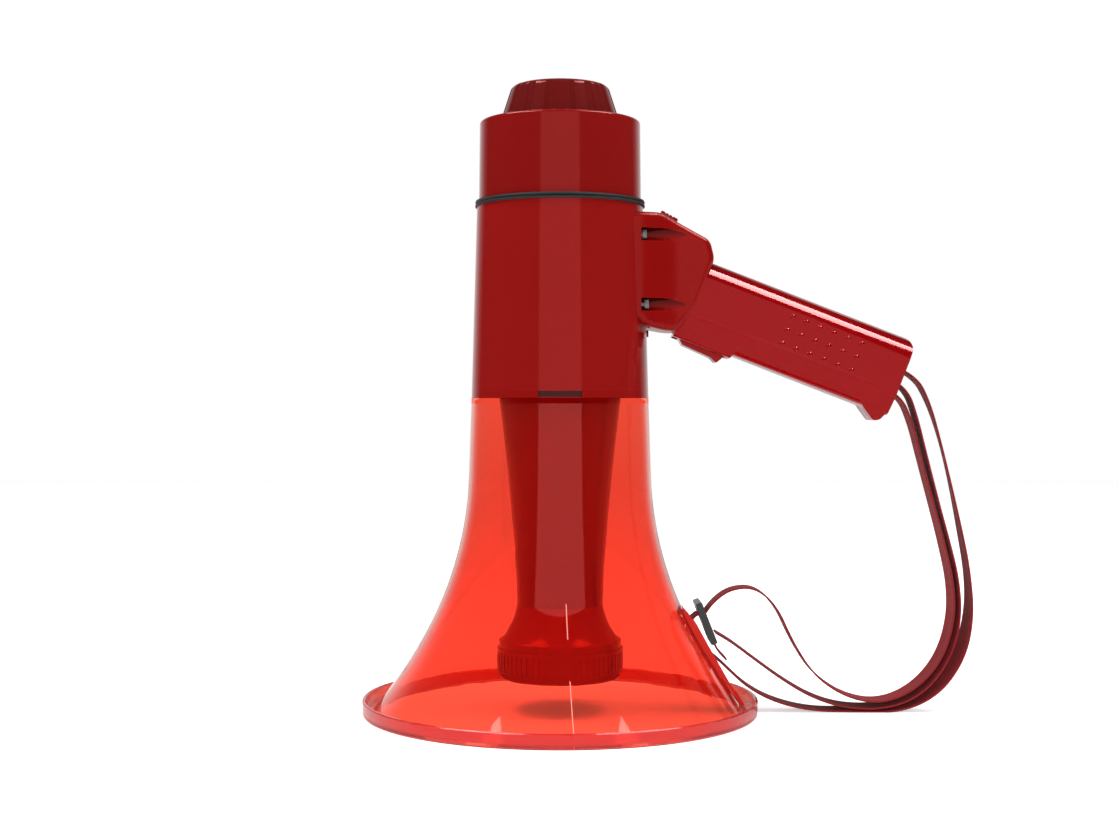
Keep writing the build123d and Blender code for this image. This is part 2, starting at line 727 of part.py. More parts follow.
def grip_shell(side):
    """Left (-1) or right (+1) half of the grip, with its bosses and grip studs."""
    keep = block((-40, min(0, side * 40), -60), (160, max(0, side * 40), 60))
    shell = grip_outside() - grip_inside()
    for u, v in grip_screws:
        shell += rod((u, side * 1.0, v), (u, side * (grip_half_width - 1), v), grip_boss_radius)
    u, v = pin_place
    boss_tip = side * (grip_half_width - grip_wall)
    shell += rod((u, side * (trigger_half + trigger_gap + 0.2), v), (u, boss_tip, v), 2.8) - root_cut(slip)
    shell -= trigger_window(trigger_gap)
    shell -= strap_slot()
    shell = shell & keep
    shell -= rod((u, -11.6, v), (u, 11.6, v), pin_radius + 0.05)
    bu, bv = bar_place
    shell -= rod((bu, -slot_half - 3.4, bv), (bu, slot_half + 3.4, bv), bar_radius + 0.05)
    for u, v in grip_screws:
        if side > 0:
            shell -= rod((u, -20, v), (u, 20, v), 1.7)
            shell -= rod((u, grip_half_width - 3.0, v), (u, 20, v), 3.1)
        else:
            shell -= rod((u, -11.0, v), (u, 20, v), 1.3)
    stud = Sphere(2.1)
    for row in range(3):
        for column in range(6):
            place = (53.0 + 8.54 * column, side * (grip_half_width - 1.35), 9.6 - 8.25 * row)
            shell += Pos(*place) * (stud & Pos(0, side * 2.35, 0) * Box(6, 2.4, 6))
    return shell


def make_grip_shell(side):
    return grip_place * grip_shell(side)


def make_grip_screws():
    """Self-tapping screws that close the grip from its far side."""
    screws = []
    for u, v in grip_screws:
        head = rod((u, grip_half_width - 3.0, v), (u, grip_half_width - 0.9, v), 2.9)
        screws.append(grip_place * (head + rod((u, -8.0, v), (u, grip_half_width - 3.0, v), 1.25)))
    return screws


def make_strap_bar():
    bu, bv = bar_place
    return grip_place * rod((bu, -slot_half - 3.2, bv), (bu, slot_half + 3.2, bv), bar_radius)


# ---------------------------------------------------------------- trigger group
trigger_throw = 6.0         # degrees
trigger_roof = -20.4
spring_u = 9.5
spring_wire = 0.45
spring_coil = 2.6
spring_turns = 4
switch_u = 20.0
plunger_radius = 1.5
plunger_tip = trigger_roof + 0.3
switch_low = -15.8


def make_trigger():
    """Talk lever: hinged at the bracket's end, with a hooked finger edge at the other."""
    outline = [(-4.2, trigger_roof - 0.2), (-4.4, -24.0), (0.0, -27.6), (18.0, -28.6), (22.2, -30.4),
               (25.0, -25.4), (25.0, -22.6), (27.0, -22.6), (27.0, trigger_roof - 0.2), (22.0, trigger_roof),
               (4.0, trigger_roof), (1.2, -19.6)]
    lever = plate(outline, -trigger_half, trigger_half, [1, 2.5, 3, 4, 1, 1, 0, 0, 0, 0, 0, 1.2])
    lever -= block((5.0, -trigger_half + 1.8, -26.4), (21.0, trigger_half - 1.8, trigger_roof - 1.6))
    u, v = pin_place
    lever -= rod((u, -20, v), (u, 20, v), pin_radius + 0.06)
    lever = grip_place * lever
    x, z = grip_point(spring_u, trigger_roof)
    pad = Pos(x, 0, z - 1.6) * Cylinder(3.6, 2.2, align=(Align.CENTER, Align.CENTER, Align.MIN))
    post = Pos(x, 0, z - 1.6) * Cylinder(1.7, 3.6, align=(Align.CENTER, Align.CENTER, Align.MIN))
    return lever + pad + post


def make_trigger_pin():
    u, v = pin_place
    return grip_place * rod((u, -11.5, v), (u, 11.5, v), pin_radius)


spring_bottom = grip_point(spring_u, trigger_roof)[1] + 0.6
spring_height = 7.0


def make_trigger_spring():
    """Small compression spring between the trigger and its seat."""
    x, _ = grip_point(spring_u, trigger_roof)
    low = spring_bottom + spring_wire + 0.05
    tall = spring_height - 2 * spring_wire - 0.1
    helix = Pos(x, 0, low) * Helix(pitch=tall / spring_turns, height=tall, radius=spring_coil)
    section = Plane(origin=helix @ 0, z_dir=helix % 0) * RegularPolygon(spring_wire, 6)
    return sweep(section, path=helix, is_frenet=True)


def make_spring_seat():
    """Cross block in the grip that the spring pushes against and the talk switch hangs from."""
    x, _ = grip_point(spring_u, trigger_roof)
    top = spring_bottom + spring_height
    half = grip_half_width - grip_wall - slip
    seat = Pos(x, 0, top) * Cylinder(3.6, 5.0, align=(Align.CENTER, Align.CENTER, Align.MIN))
    bridge = grip_place * block((4.5, -half, -9.5), (31.0, half, -7.4))
    return seat + bridge


def make_talk_switch():
    """Push switch under the bridge, above the trigger's free end."""
    body = block((switch_u - 5.0, -3.2, switch_low), (switch_u + 7.0, 3.2, -9.5))
    body -= rod((switch_u, 0, switch_low - 1), (switch_u, 0, -10.6), plunger_radius + 0.08)
    for u in (switch_u - 2.5, switch_u + 2.5, switch_u + 5.5):
        body += block((u - 0.3, 3.2, -12.6), (u + 0.3, 6.0, -11.2))
    return grip_place * body


def make_switch_plunger():
    return grip_place * rod((switch_u, 0, plunger_tip), (switch_u, 0, -13.2), plunger_radius)


# ---------------------------------------------------------------- bracket
bracket_wall = 2.6
bracket_top = body_top - 4.6
bracket_corners = [(-10.4, -4.6), (9.6, -4.6), (38.0, -20.3), (40.6, -31.1), (30.7, -57.7), (19.2, -72.9),
                   (11.6, -72.5), (1.6, -70.3), (-3.9, -67.3), (-10.4, -61.7)]
bracket_outline = [(body_top_radius + x, body_top + z) for x, z in bracket_corners]
bracket_radii = [0, 5, 7, 4, 22, 4, 6, 6, 4, 0]
bracket_edge_radius = 6.0
channel_radius = 3.7
slope_start, slope_end = bracket_outline[1:3]
switch_slope = atan2(slope_start[1] - slope_end[1], slope_end[0] - slope_start[0])
switch_offset = 1.2
switch_start = (slope_start[0] + switch_offset * cos(switch_slope),
                slope_start[1] - switch_offset * sin(switch_slope))
switch_travel = 4.0


def bracket_width(inset):
    """Top view of the bracket: broad at the body, narrower at the grip."""
    wide = bracket_half_width - inset
    slim = grip_half_width + 0.6 - inset
    return [(30, -wide - 2.5), (44, -wide - 1.0), (49, -wide), (68, -slim), (100, -slim),
            (100, slim), (68, slim), (49, wide), (44, wide + 1.0), (30, wide + 2.5)]


def bracket_side():
    """The bracket seen from its side, drawn 40 mm to the left of the middle."""
    corners = [(x, -40, z) for x, z in bracket_outline]
    return make_face(FilletPolyline(*corners, radius=bracket_radii, close=True).edges())


def bracket_body(inset):
    """Side, top and end outlines of the bracket, crossed."""
    side = bracket_side()
    if inset:
        side = offset(side, amount=-inset)
    blank = extrude(side, amount=80, dir=(0, 1, 0))
    top = [(x, y, 200) for x, y in bracket_width(inset)]
    radii = [0, 4, 6, 14, 0, 0, 14, 6, 4, 0]
    blank &= extrude(make_face(FilletPolyline(*top, radius=radii, close=True).edges()), amount=120, dir=(0, 0, 1))
    wide = bracket_half_width + 2.5 - inset
    high = bracket_top - inset
    end = [(30, -wide, high - 90), (30, wide, high - 90), (30, wide, high), (30, -wide, high)]
    soft = bracket_edge_radius - inset
    arch = make_face(FilletPolyline(*end, radius=[0, 0, soft, soft], close=True).edges())
    return blank & extrude(arch, amount=80, dir=(1, 0, 0))


def body_cone(gap):
    """Solid of the body's outside, to cut the bracket's saddle."""
    return turned([(0, bell_height), (neck_radius + gap, bell_height), (body_top_radius + gap, body_top),
                   (0, body_top)])


def make_handle_bracket():
    """Hollow bracket on the body's side, with the tongue that the grip closes over."""
    shell = bracket_body(0)
    shell -= body_cone(0.0)
    hollow = bracket_body(bracket_wall)
    for z in screw_heights:
        for y in (-boss_y, boss_y):
            hollow -= block((30, y - 6.4, z - 6.0), (64, y + 6.4, z + 6.0))
    shell -= hollow
    for z in screw_heights:
        for y in (-boss_y, boss_y):
            near, far = sorted((y, 1.6 * y))
            shell -= rod((screw_seat(z), y, z), (110, y, z), channel_radius)
            shell -= block((screw_seat(z), near, z - channel_radius), (110, far, z + channel_radius))
            shell -= rod((30, y, z), (110, y, z), screw_shank_radius + 0.2)
    half = grip_half_width - grip_wall - 1.0
    tongue = grip_bar([(-half, 18.5), (half, 18.5), (half, -5.0), (-half, -5.0)], -4, 13, [5, 5, 2, 2])
    half -= 2.2
    passage = grip_bar([(-half, 16.3), (half, 16.3), (half, -2.8), (-half, -2.8)], -12, 14, [3, 3, 1, 1])
    shell += grip_place * tongue
    shell -= grip_place * passage
    return shell - switch_slot()


def slope_place():
    """Frame on the bracket's slanted top: X runs down the slope, Z stands on it."""
    return Pos(switch_start[0], 0, switch_start[1]) * Rot(0, degrees(switch_slope), 0)


def switch_slot():
    return slope_place() * block((1.0, -2.4, -8), (1.0 + 4.4 + switch_travel + 0.6, 2.4, 3))


def make_mode_switch_knob():
    """Ridged slider that changes from voice to siren."""
    cap = plate([(-1.5, 0.35), (9.5, 0.35), (9.5, 2.9), (-1.5, 2.9)], -4.6, 4.6, [0, 0, 0.9, 0.9])
    for i in range(3):
        cap -= plate([(1.4 + 2.2 * i, 2.3), (2.4 + 2.2 * i, 3.2), (0.4 + 2.2 * i, 3.2)], -6, 6)
    stem = block((1.3, -2.0, -5.0), (5.7, 2.0, 0.6))
    return slope_place() * (cap + stem)


def make_mode_switch_body():
    """Slide switch on the inside of the bracket's top."""
    low = -bracket_wall - 6.6
    body = block((0.0, -5.2, low), (13.6, 5.2, -bracket_wall - 0.05))
    body -= block((0.8, -2.3, -bracket_wall - 3.2), (1.0 + 4.4 + switch_travel + 0.8, 2.3, 0))
    return slope_place() * body


def make_bracket_screws():
    screws = []
    for z in screw_heights:
        for y in (-boss_y, boss_y):
            seat = screw_seat(z)
            head = rod((seat, y, z), (seat + 2.4, y, z), screw_head_radius)
            head -= rod((seat + 1.2, y, z), (seat + 3, y, z), 1.4)
            shank = rod((seat - screw_length, y, z), (seat, y, z), screw_shank_radius - 0.05)
            screws.append(head + shank)
    return screws


# ---------------------------------------------------------------- strap
# Routes lie in the XZ plane through the horn's axis; each is the middle of the webbing.
def strap_route(from_bar, from_bell):
    """The first points are measured from the strap bar, the others outwards from the bell at their height."""
    bar_x, bar_z = grip_point(*bar_place)
    return [(bar_x + x, bar_z + z) for x, z in from_bar] + [off_bell(gap, z) for gap, z in from_bell]


def off_bell(gap, z):
    """Point at a height, a gap away from the bell's side."""
    return bell_radius(z) + gap, z


outer_route = strap_route([(2.0, 6.6), (15.5, 1.2), (24.0, -14.8), (30.8, -36.8), (36.6, -60.8),
                           (42.0, -86.8), (47.0, -112.8), (48.4, -137.8)],
                          [(147.9, 33.0), (118.9, 12.0), (89.0, 1.4), (62.4, 0.8), (36.6, 0.9), (19.0, 6.4),
                           (10.0, 15.0), (6.3, 25.4), (4.0, 31.0), (1.8, 34.2)])
middle_route = strap_route([(2.2, -2.1), (10.4, -6.6), (16.0, -22.2), (21.4, -44.2), (27.4, -67.6),
                            (34.4, -93.8), (39.8, -118.8), (40.2, -143.2)],
                           [(134.1, 27.8), (105.0, 9.4), (78.2, 2.2), (57.2, 2.9), (43.6, 8.4),
                            (34.1, 18.4), (26.3, 29.6), (20.3, 38.0), (16.1, 42.9), (12.0, 46.2)])
inner_route = strap_route([(-2.8, -6.8), (6.6, -10.4), (13.4, -26.2), (18.9, -47.9), (25.2, -71.4),
                           (32.1, -97.4), (37.3, -120.8), (37.4, -142.4)],
                          [(133.2, 30.0), (106.1, 13.0), (79.9, 5.0), (62.6, 9.2), (53.8, 21.4),
                           (53.7, 40.8), (55.2, 61.6), (47.4, 72.8), (32.4, 71.8), (18.1, 63.6),
                           (11.7, 57.6)])
lug_passage = 1.0
slider_top = off_bell(10.3, 64.1)
slider_bottom = off_bell(7.6, 40.2)
slider_thickness = 4.0
slider_half = 11.5


def route_radii(points):
    """Radius at each corner: 0.45 of the shorter run over the tangent of half the turn."""
    radii = []
    for a, b, c in zip(points, points[1:], points[2:]):
        first = Vector(b[0] - a[0], 0, b[1] - a[1])
        second = Vector(c[0] - b[0], 0, c[1] - b[1])
        turn = radians(first.get_angle(second))
        radii.append(0.45 * min(first.length, second.length) / tan(turn / 2))
    return radii


def webbing(points, name):
    """Flat strap along a route of straight runs and tangent arcs."""
    radii = route_radii(points)
    path = FilletPolyline(*[(x, 0, z) for x, z in points], radius=radii)
    section = Plane(origin=path @ 0, x_dir=(0, 1, 0), z_dir=path % 0) * Rectangle(strap_width, strap_thickness)
    strip = sweep(section, path=path)
    share = strip.volume / (strap_width * strap_thickness * path.length)
    print(name, "length", round(path.length, 1), "smallest radius", round(min(radii), 1),
          "volume share", round(share, 4))
    return strip


def make_strap_slider():
    """Three-bar slide buckle that sets the strap's length."""
    (x0, z0), (x1, z1) = slider_top, slider_bottom
    length = hypot(x1 - x0, z1 - z0)
    lean = degrees(atan2(z0 - z1, x1 - x0))
    frame = Pos(x0, 0, z0) * Rot(0, lean, 0)
    half = slider_thickness / 2
    buckle = plate([(0, -half), (length, -half), (length, half), (0, half)], -slider_half, slider_half,
                   [1.2, 1.2, 1.2, 1.2])
    for low, high in ((3.4, 10.6), (15.1, 22.3)):
        buckle -= block((low, -strap_width / 2 - 0.8, -5), (high, strap_width / 2 + 0.8, 5))
    return frame * buckle


def short_webbing(points, radii):
    path = FilletPolyline(*[(x, 0, z) for x, z in points], radius=radii)
    section = Plane(origin=path @ 0, x_dir=(0, 1, 0), z_dir=path % 0) * Rectangle(strap_width, strap_thickness)
    return sweep(section, path=path)


def make_strap_lug_loop():
    """The webbing's turn round the bar of the bell's lug, between bar and bell, up to the slider."""
    (x0, z0), (x1, z1) = outer_route[-2:]
    inlet = [(x1, z1), (x1 + 0.375 * (x1 - x0), z1 + 0.375 * (z1 - z0))]
    along = [off_bell(lug_passage, 45.4), off_bell(lug_passage, 53.4)]
    return short_webbing(inlet + along + [off_bell(6.7, 57.0), off_bell(10.0, 56.0)], [4, 60, 1.6, 1.6])


def make_strap_tail():
    """Loose end of the webbing below the slider."""
    return short_webbing([off_bell(7.7, 39.6), off_bell(7.5, 35.4), off_bell(9.0, 30.6)], [6.0])


# ---------------------------------------------------------------- write every piece
pieces = {
    "bell": make_bell,
    "strap_lug": make_strap_lug,
    "inner_horn": make_inner_horn,
    "horn_spider": make_horn_spider,
    "spider_pads": make_spider_pads,
    "driver_housing": make_driver_housing,
    "driver_cap": make_driver_cap,
    "back_plate": make_back_plate,
    "ring_magnet": make_ring_magnet,
    "top_plate": make_top_plate,
    "voice_coil": make_voice_coil,
    "diaphragm": make_diaphragm,
    "phase_plug": make_phase_plug,
    "front_body": make_front_body,
    "reflector_cup": make_reflector_cup,
    "board_posts": make_board_posts,
    "circuit_board": make_circuit_board,
    "output_transformer": make_output_transformer,
    "capacitors": make_capacitors,
    "heat_sink": make_heat_sink,
    "battery_holder": make_battery_holder,
    "battery_cells": make_battery_cells,
    "battery_springs": make_battery_springs,
    "battery_lid": make_battery_lid,
    "lid_contacts": make_lid_contacts,
    "lid_screw": make_lid_screw,
    "body_gasket": make_body_gasket,
    "rear_cover": make_rear_cover,
    "volume_knob": make_volume_knob,
    "knob_clip": make_knob_clip,
    "volume_potentiometer": make_volume_potentiometer,
    "mic_holder": make_mic_holder,
    "mic_capsule": make_mic_capsule,
    "mic_grille": make_mic_grille,
    "mic_board": make_mic_board,
    "handle_bracket": make_handle_bracket,
    "bracket_screws": make_bracket_screws,
    "mode_switch_body": make_mode_switch_body,
    "mode_switch_knob": make_mode_switch_knob,
    "grip_left": lambda: make_grip_shell(-1),
    "grip_right": lambda: make_grip_shell(1),
    "grip_screws": make_grip_screws,
    "strap_bar": make_strap_bar,
    "trigger": make_trigger,
    "trigger_pin": make_trigger_pin,
    "trigger_spring": make_trigger_spring,
    "spring_seat": make_spring_seat,
    "talk_switch": make_talk_switch,
    "switch_plunger": make_switch_plunger,
    "strap_outer": lambda: webbing(outer_route, "strap_outer"),
    "strap_middle": lambda: webbing(middle_route, "strap_middle"),
    "strap_inner": lambda: webbing(inner_route, "strap_inner"),
    "strap_slider": make_strap_slider,
    "strap_lug_loop": make_strap_lug_loop,
    "strap_tail": make_strap_tail,
}

os.makedirs("parts", exist_ok=True)
for node, make in pieces.items():
    shape = make()
    if isinstance(shape, (list, ShapeList)):
        shape = Compound(children=[Compound([s]) if not isinstance(s, Compound) else s for s in shape])
    export_step(shape, f"parts/{node}.step")
    print(node, "written")
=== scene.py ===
import json
from math import atan2, cos, pi, radians, sin

import bmesh
import bpy
from mathutils import Matrix, Vector


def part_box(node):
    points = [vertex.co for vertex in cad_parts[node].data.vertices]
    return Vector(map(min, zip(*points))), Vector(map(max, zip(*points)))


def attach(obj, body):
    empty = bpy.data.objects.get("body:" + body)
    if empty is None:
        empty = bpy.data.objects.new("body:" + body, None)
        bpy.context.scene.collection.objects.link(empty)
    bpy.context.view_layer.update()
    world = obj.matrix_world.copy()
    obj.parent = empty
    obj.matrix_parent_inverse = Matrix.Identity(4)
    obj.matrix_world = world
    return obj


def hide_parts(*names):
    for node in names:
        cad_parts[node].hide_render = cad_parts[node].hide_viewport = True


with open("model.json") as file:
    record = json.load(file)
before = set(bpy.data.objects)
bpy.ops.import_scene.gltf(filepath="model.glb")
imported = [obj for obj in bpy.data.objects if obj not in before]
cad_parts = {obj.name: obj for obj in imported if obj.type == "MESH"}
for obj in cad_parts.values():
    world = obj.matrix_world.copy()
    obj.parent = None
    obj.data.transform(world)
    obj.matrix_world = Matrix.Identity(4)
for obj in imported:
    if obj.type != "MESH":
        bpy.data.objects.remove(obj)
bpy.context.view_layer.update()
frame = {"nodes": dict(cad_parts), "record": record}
nodes = frame["nodes"]

# A handheld megaphone that stands mouth down. Lengths are in metres; the horn's axis is Z
# and the handle points to +X.


# ---------------------------------------------------------------- sizes read from the frame
bell_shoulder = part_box("front_body")[0][2]
lip_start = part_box("bell")[1][0] - 0.0035
# How far out from the axis the floor carries its painted shadow under the bell.
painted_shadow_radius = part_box("bell")[1][0] - 0.003

# ---------------------------------------------------------------- sizes shared by several pieces
screw_y, screw_levels = 0.0206, (0.2761, 0.2361)    # the bracket's four screws
pocket_start, pocket_radius = 0.0463, 0.0037        # the pockets round them
webbing_width = 0.015
webbing_thickness = 0.0011
third_turn = 2 * pi / 3


# ---------------------------------------------------------------- camera
eye_distance = 0.98
eye_height = 0.1786
eye_tilt = radians(0.495)
eye_aside = -0.0006
eye_lens, eye_sensor = 54.03, 36    # millimetres


def place_camera():
    """Level view from the front, a metre away."""
    eye = bpy.data.cameras.new("eye")
    eye.sensor_width = eye_sensor
    eye.lens = eye_lens
    seat = bpy.data.objects.new("eye", eye)
    seat.location = (eye_aside, -eye_distance, eye_height)
    seat.rotation_euler = (pi / 2 - eye_tilt, 0, 0)
    bpy.context.collection.objects.link(seat)
    bpy.context.scene.camera = seat


place_camera()


# ---------------------------------------------------------------- shader maths
class Wire:
    """A value in a material, with arithmetic that adds its Math nodes."""

    def __init__(self, mix, socket):
        self.mix = mix
        self.socket = socket

    def maths(self, operation, *others):
        """A Math node on this value and the others."""
        inputs = {0: self, **dict(enumerate(others, 1))}
        return self.mix.node("ShaderNodeMath", {"operation": operation}, inputs)

    def __add__(self, other):
        return self.maths("ADD", other)

    __radd__ = __add__

    def __sub__(self, other):
        return self.maths("SUBTRACT", other)

    def __rsub__(self, other):
        return self.maths("MULTIPLY", -1.0) + other

    def __mul__(self, other):
        return self.maths("MULTIPLY", other)

    __rmul__ = __mul__

    def __pow__(self, other):
        return self.maths("POWER", other)

    def clamped(self):
        return self.maths("MAXIMUM", 0.0).maths("MINIMUM", 1.0)


class Mix:
    """One material and the nodes that are added to it."""

    def __init__(self, name):
        self.material = bpy.data.materials.new(name)
        self.material.use_nodes = True
        self.tree = self.material.node_tree
        self.tree.nodes.clear()

    def node(self, kind, settings, sockets, output=0):
        """Adds a node, sets its settings, then its sockets, and gives one of its outputs."""
        made = self.tree.nodes.new(kind)
        for name, value in settings.items():
            setattr(made, name, value)
        for name, value in sockets.items():
            if isinstance(value, Wire):
                self.tree.links.new(value.socket, made.inputs[name])
            else:
                made.inputs[name].default_value = value
        return Wire(self, made.outputs[output]) if made.outputs else None

    def here(self):
        """The x, y and z of the point on the object."""
        point = self.node("ShaderNodeTexCoord", {}, {}, "Object")
        split = self.node("ShaderNodeSeparateXYZ", {}, {"Vector": point})
        return [Wire(self, socket) for socket in split.socket.node.outputs]

    def layer(self, share, below, above):
        """One surface over another where the share is 1."""
        return self.node("ShaderNodeMixShader", {}, {0: share, 1: below, 2: above})

    def place(self, scale=(1, 1, 1)):
        """Object coordinates, stretched by a scale."""
        here = self.node("ShaderNodeTexCoord", {}, {}, "Object")
        return self.node("ShaderNodeMapping", {}, {"Vector": here, "Scale": scale})

    def noise(self, size, detail=3.0, stretch=(1, 1, 1)):
        """Soft random value from 0 to 1 with features of a size in metres."""
        inputs = {"Vector": self.place(stretch), "Scale": 1 / size, "Detail": detail}
        return self.node("ShaderNodeTexNoise", {}, inputs)

    def blend(self, share, first, second):
        """Mixes two colours."""
        inputs = {"Factor": share, 6: first, 7: second}
        return self.node("ShaderNodeMix", {"data_type": "RGBA"}, inputs, 2)

    def bump(self, height, depth):
        """Normal from a height of 0 to 1 over a depth in metres."""
        return self.node("ShaderNodeBump", {}, {"Height": height, "Distance": depth, "Strength": 1.0})

    def edges(self, reach):
        """1 along sharp outer edges, fading to 0 at a distance from them."""
        rounded = self.node("ShaderNodeBevel", {"samples": 4}, {"Radius": reach})
        flat = self.node("ShaderNodeNewGeometry", {}, {}, "Normal")
        product = {"operation": "DOT_PRODUCT"}
        agree = self.node("ShaderNodeVectorMath", product, {0: rounded, 1: flat}, "Value")
        return ((1 - agree) * 6.0).clamped()

    def shader(self, **sockets):
        """A Principled surface; an underscore stands for the space in a socket's name."""
        inputs = {name.replace("_", " "): value for name, value in sockets.items()}
        return self.node("ShaderNodeBsdfPrincipled", {}, inputs)

    def done(self, surface):
        """Gives the material its surface."""
        self.node("ShaderNodeOutputMaterial", {}, {"Surface": surface})
        return self.material


def tinted(colour, share):
    """A colour made darker or lighter by a share."""
    return (*[channel * share for channel in colour], 1)


# ---------------------------------------------------------------- materials
def make_moulded(name, colour, roughness, tint, pockets=False):
    """Moulded gloss plastic: uneven colour, an orange-peel skin, handling haze, rubbed edges and, where
    asked, painted shade in the bracket's screw pockets.
    """
    mix = Mix(name)
    cloud = mix.noise(0.03, 2.0)
    peel = mix.noise(0.0004, 2.0)
    haze = mix.noise(0.012, 5.0)
    rubbed = mix.edges(0.0007) * (haze * 1.6 - 0.3).clamped()
    skin = mix.blend(cloud, tinted(colour, 0.94), tinted(colour, 1.05))
    skin = mix.blend(rubbed * 0.5, skin, tinted([channel + 0.02 for channel in colour], 1.3))
    # Painted shade: the screw pockets' walls are darkened to a tenth of the colour.
    if pockets:
        skin = mix.blend(painted_pocket_shade(mix), skin, tinted(colour, 0.1))
    return mix.done(mix.shader(
        Base_Color=skin,
        Roughness=roughness + 0.08 * haze + 0.12 * rubbed,
        Normal=mix.bump(peel, 0.000004),
        Specular_Tint=tint,
        IOR=1.5,
    ))


def painted_pocket_shade(mix):
    """Painted shade: 1 on the upper walls of the bracket's screw pockets, where shade falls, and less
    lower down.
    """
    x, y, z = mix.here()
    aside = y.maths("ABSOLUTE") - screw_y
    inside = None
    for level in screw_levels:
        rise = z - level
        away = (aside * aside + rise * rise) ** 0.5
        share = away.maths("LESS_THAN", pocket_radius + 0.00004) * (rise * 260 + 0.55).clamped()
        inside = share if inside is None else inside.maths("MAXIMUM", share)
    return inside * x.maths("GREATER_THAN", pocket_start - 0.0001) * 0.9


def make_clear_red(name, flare_colour, neck_colour, seat_colour):
    """Clear tinted acrylic, deeper in its flare; its top band shows the red seat and pads behind it."""
    mix = Mix(name)
    x, y, z = mix.here()
    radius = (x * x + y * y) ** 0.5
    flow = mix.noise(0.02, 1.0, (1, 1, 0.4))
    haze = mix.noise(0.01, 5.0)
    towards_neck = (z * 11.0 - 0.9).clamped()
    glass = mix.shader(
        Base_Color=mix.blend(towards_neck, (*flare_colour, 1), (*neck_colour, 1)),
        Roughness=0.012 + 0.02 * haze,
        Normal=mix.bump(flow, 0.00002),
        Specular_Tint=(1, 0.4, 0.38, 1),
        Transmission_Weight=1.0,
        IOR=1.49,
    )
    one_wall = (*[channel ** 0.5 for channel in neck_colour], 1)
    for_lamps = mix.node("ShaderNodeBsdfTransparent", {}, {"Color": one_wall})
    at_spigot = z.maths("GREATER_THAN", bell_shoulder - 0.0075)
    unbent = mix.node("ShaderNodeLightPath", {}, {}, "Is Shadow Ray").maths("MAXIMUM", at_spigot)
    clear = mix.layer(unbent, glass, for_lamps)

    # A thin pale line down the front, broken at the height of the driver's cap behind it.
    off_line = (x - radius * 0.1 + 0.0034).maths("ABSOLUTE")
    in_front = y.maths("LESS_THAN", 0.0)
    beside_cap = (z - 0.0415).maths("ABSOLUTE").maths("GREATER_THAN", 0.0105)
    below_neck = z.maths("LESS_THAN", 0.070) * radius.maths("LESS_THAN", 0.1085)
    line = off_line.maths("LESS_THAN", 0.00024) * in_front * beside_cap * below_neck * 0.7
    pale = mix.shader(Base_Color=(0.95, 0.42, 0.36, 1), Roughness=0.3)

    # Three dark pads behind the top band, one of them at the front.
    turn = (y.maths("ARCTAN2", x) + (pi / 2 + 4 * third_turn)).maths("MODULO", third_turn)
    from_pad = turn.maths("MINIMUM", third_turn - turn) * radius
    pad_high = (z - (bell_shoulder - 0.0022)).maths("ABSOLUTE").maths("LESS_THAN", 0.0017)
    pad = from_pad.maths("LESS_THAN", 0.0125) * pad_high
    seat = mix.shader(
        Base_Color=mix.blend(pad, (*seat_colour, 1), (0.012, 0.008, 0.008, 1)),
        Roughness=0.08,
        Specular_Tint=warm_gloss,
        IOR=1.5,
    )
    band = z.maths("GREATER_THAN", bell_shoulder - 0.0043)
    lip = mix.shader(Base_Color=(0.60, 0.035, 0.035, 1), Roughness=0.12, IOR=1.49)
    on_lip = radius.maths("GREATER_THAN", lip_start) * 0.45
    flare = mix.layer(line, mix.layer(on_lip, clear, lip), pale)
    return mix.done(mix.layer(band, flare, seat))


def make_metal(name, colour, roughness):
    """Plated or drawn metal with a fine brushed grain."""
    mix = Mix(name)
    grain = mix.noise(0.0006, 3.0, (1, 1, 8))
    return mix.done(mix.shader(
        Base_Color=(*colour, 1),
        Metallic=1.0,
        Roughness=roughness + 0.12 * grain,
        Normal=mix.bump(grain, 0.000006),
    ))


def make_dull(name, colour, roughness, grain, depth):
    """Rubber, matt plastic or board: low sheen with a fine tooth."""
    mix = Mix(name)
    tooth = mix.noise(grain, 4.0)
    cloud = mix.noise(0.02, 3.0)
    return mix.done(mix.shader(
        Base_Color=mix.blend(cloud, tinted(colour, 0.85), tinted(colour, 1.15)),
        Roughness=roughness + 0.1 * tooth,
        Normal=mix.bump(tooth, depth),
    ))


def make_webbing(name, colour):
    """Woven tape: ribs across its width, a twill over them and a little fuzz."""
    mix = Mix(name)
    along = mix.node("ShaderNodeUVMap", {"uv_map": "weave"}, {})
    parts = mix.node("ShaderNodeSeparateXYZ", {}, {"Vector": along}, "X")
    across = Wire(mix, parts.socket.node.outputs["Y"])
    rib = (parts * (2 * pi / 0.0009)).maths("SINE") * 0.5 + 0.5
    thread = (across * (2 * pi / 0.0011) + parts * (2 * pi / 0.0036)).maths("SINE") * 0.5 + 0.5
    weave = rib * 0.6 + thread * 0.4
    fuzz = mix.noise(0.0008, 4.0)
    shade = (weave * 0.6 + fuzz * 0.4).clamped()
    return mix.done(mix.shader(
        Base_Color=mix.blend(shade, tinted(colour, 0.6), tinted(colour, 1.15)),
        Roughness=0.75,
        Normal=mix.bump(weave, 0.00012),
        Specular_IOR_Level=0.2,
        Sheen_Weight=0.04,
    ))


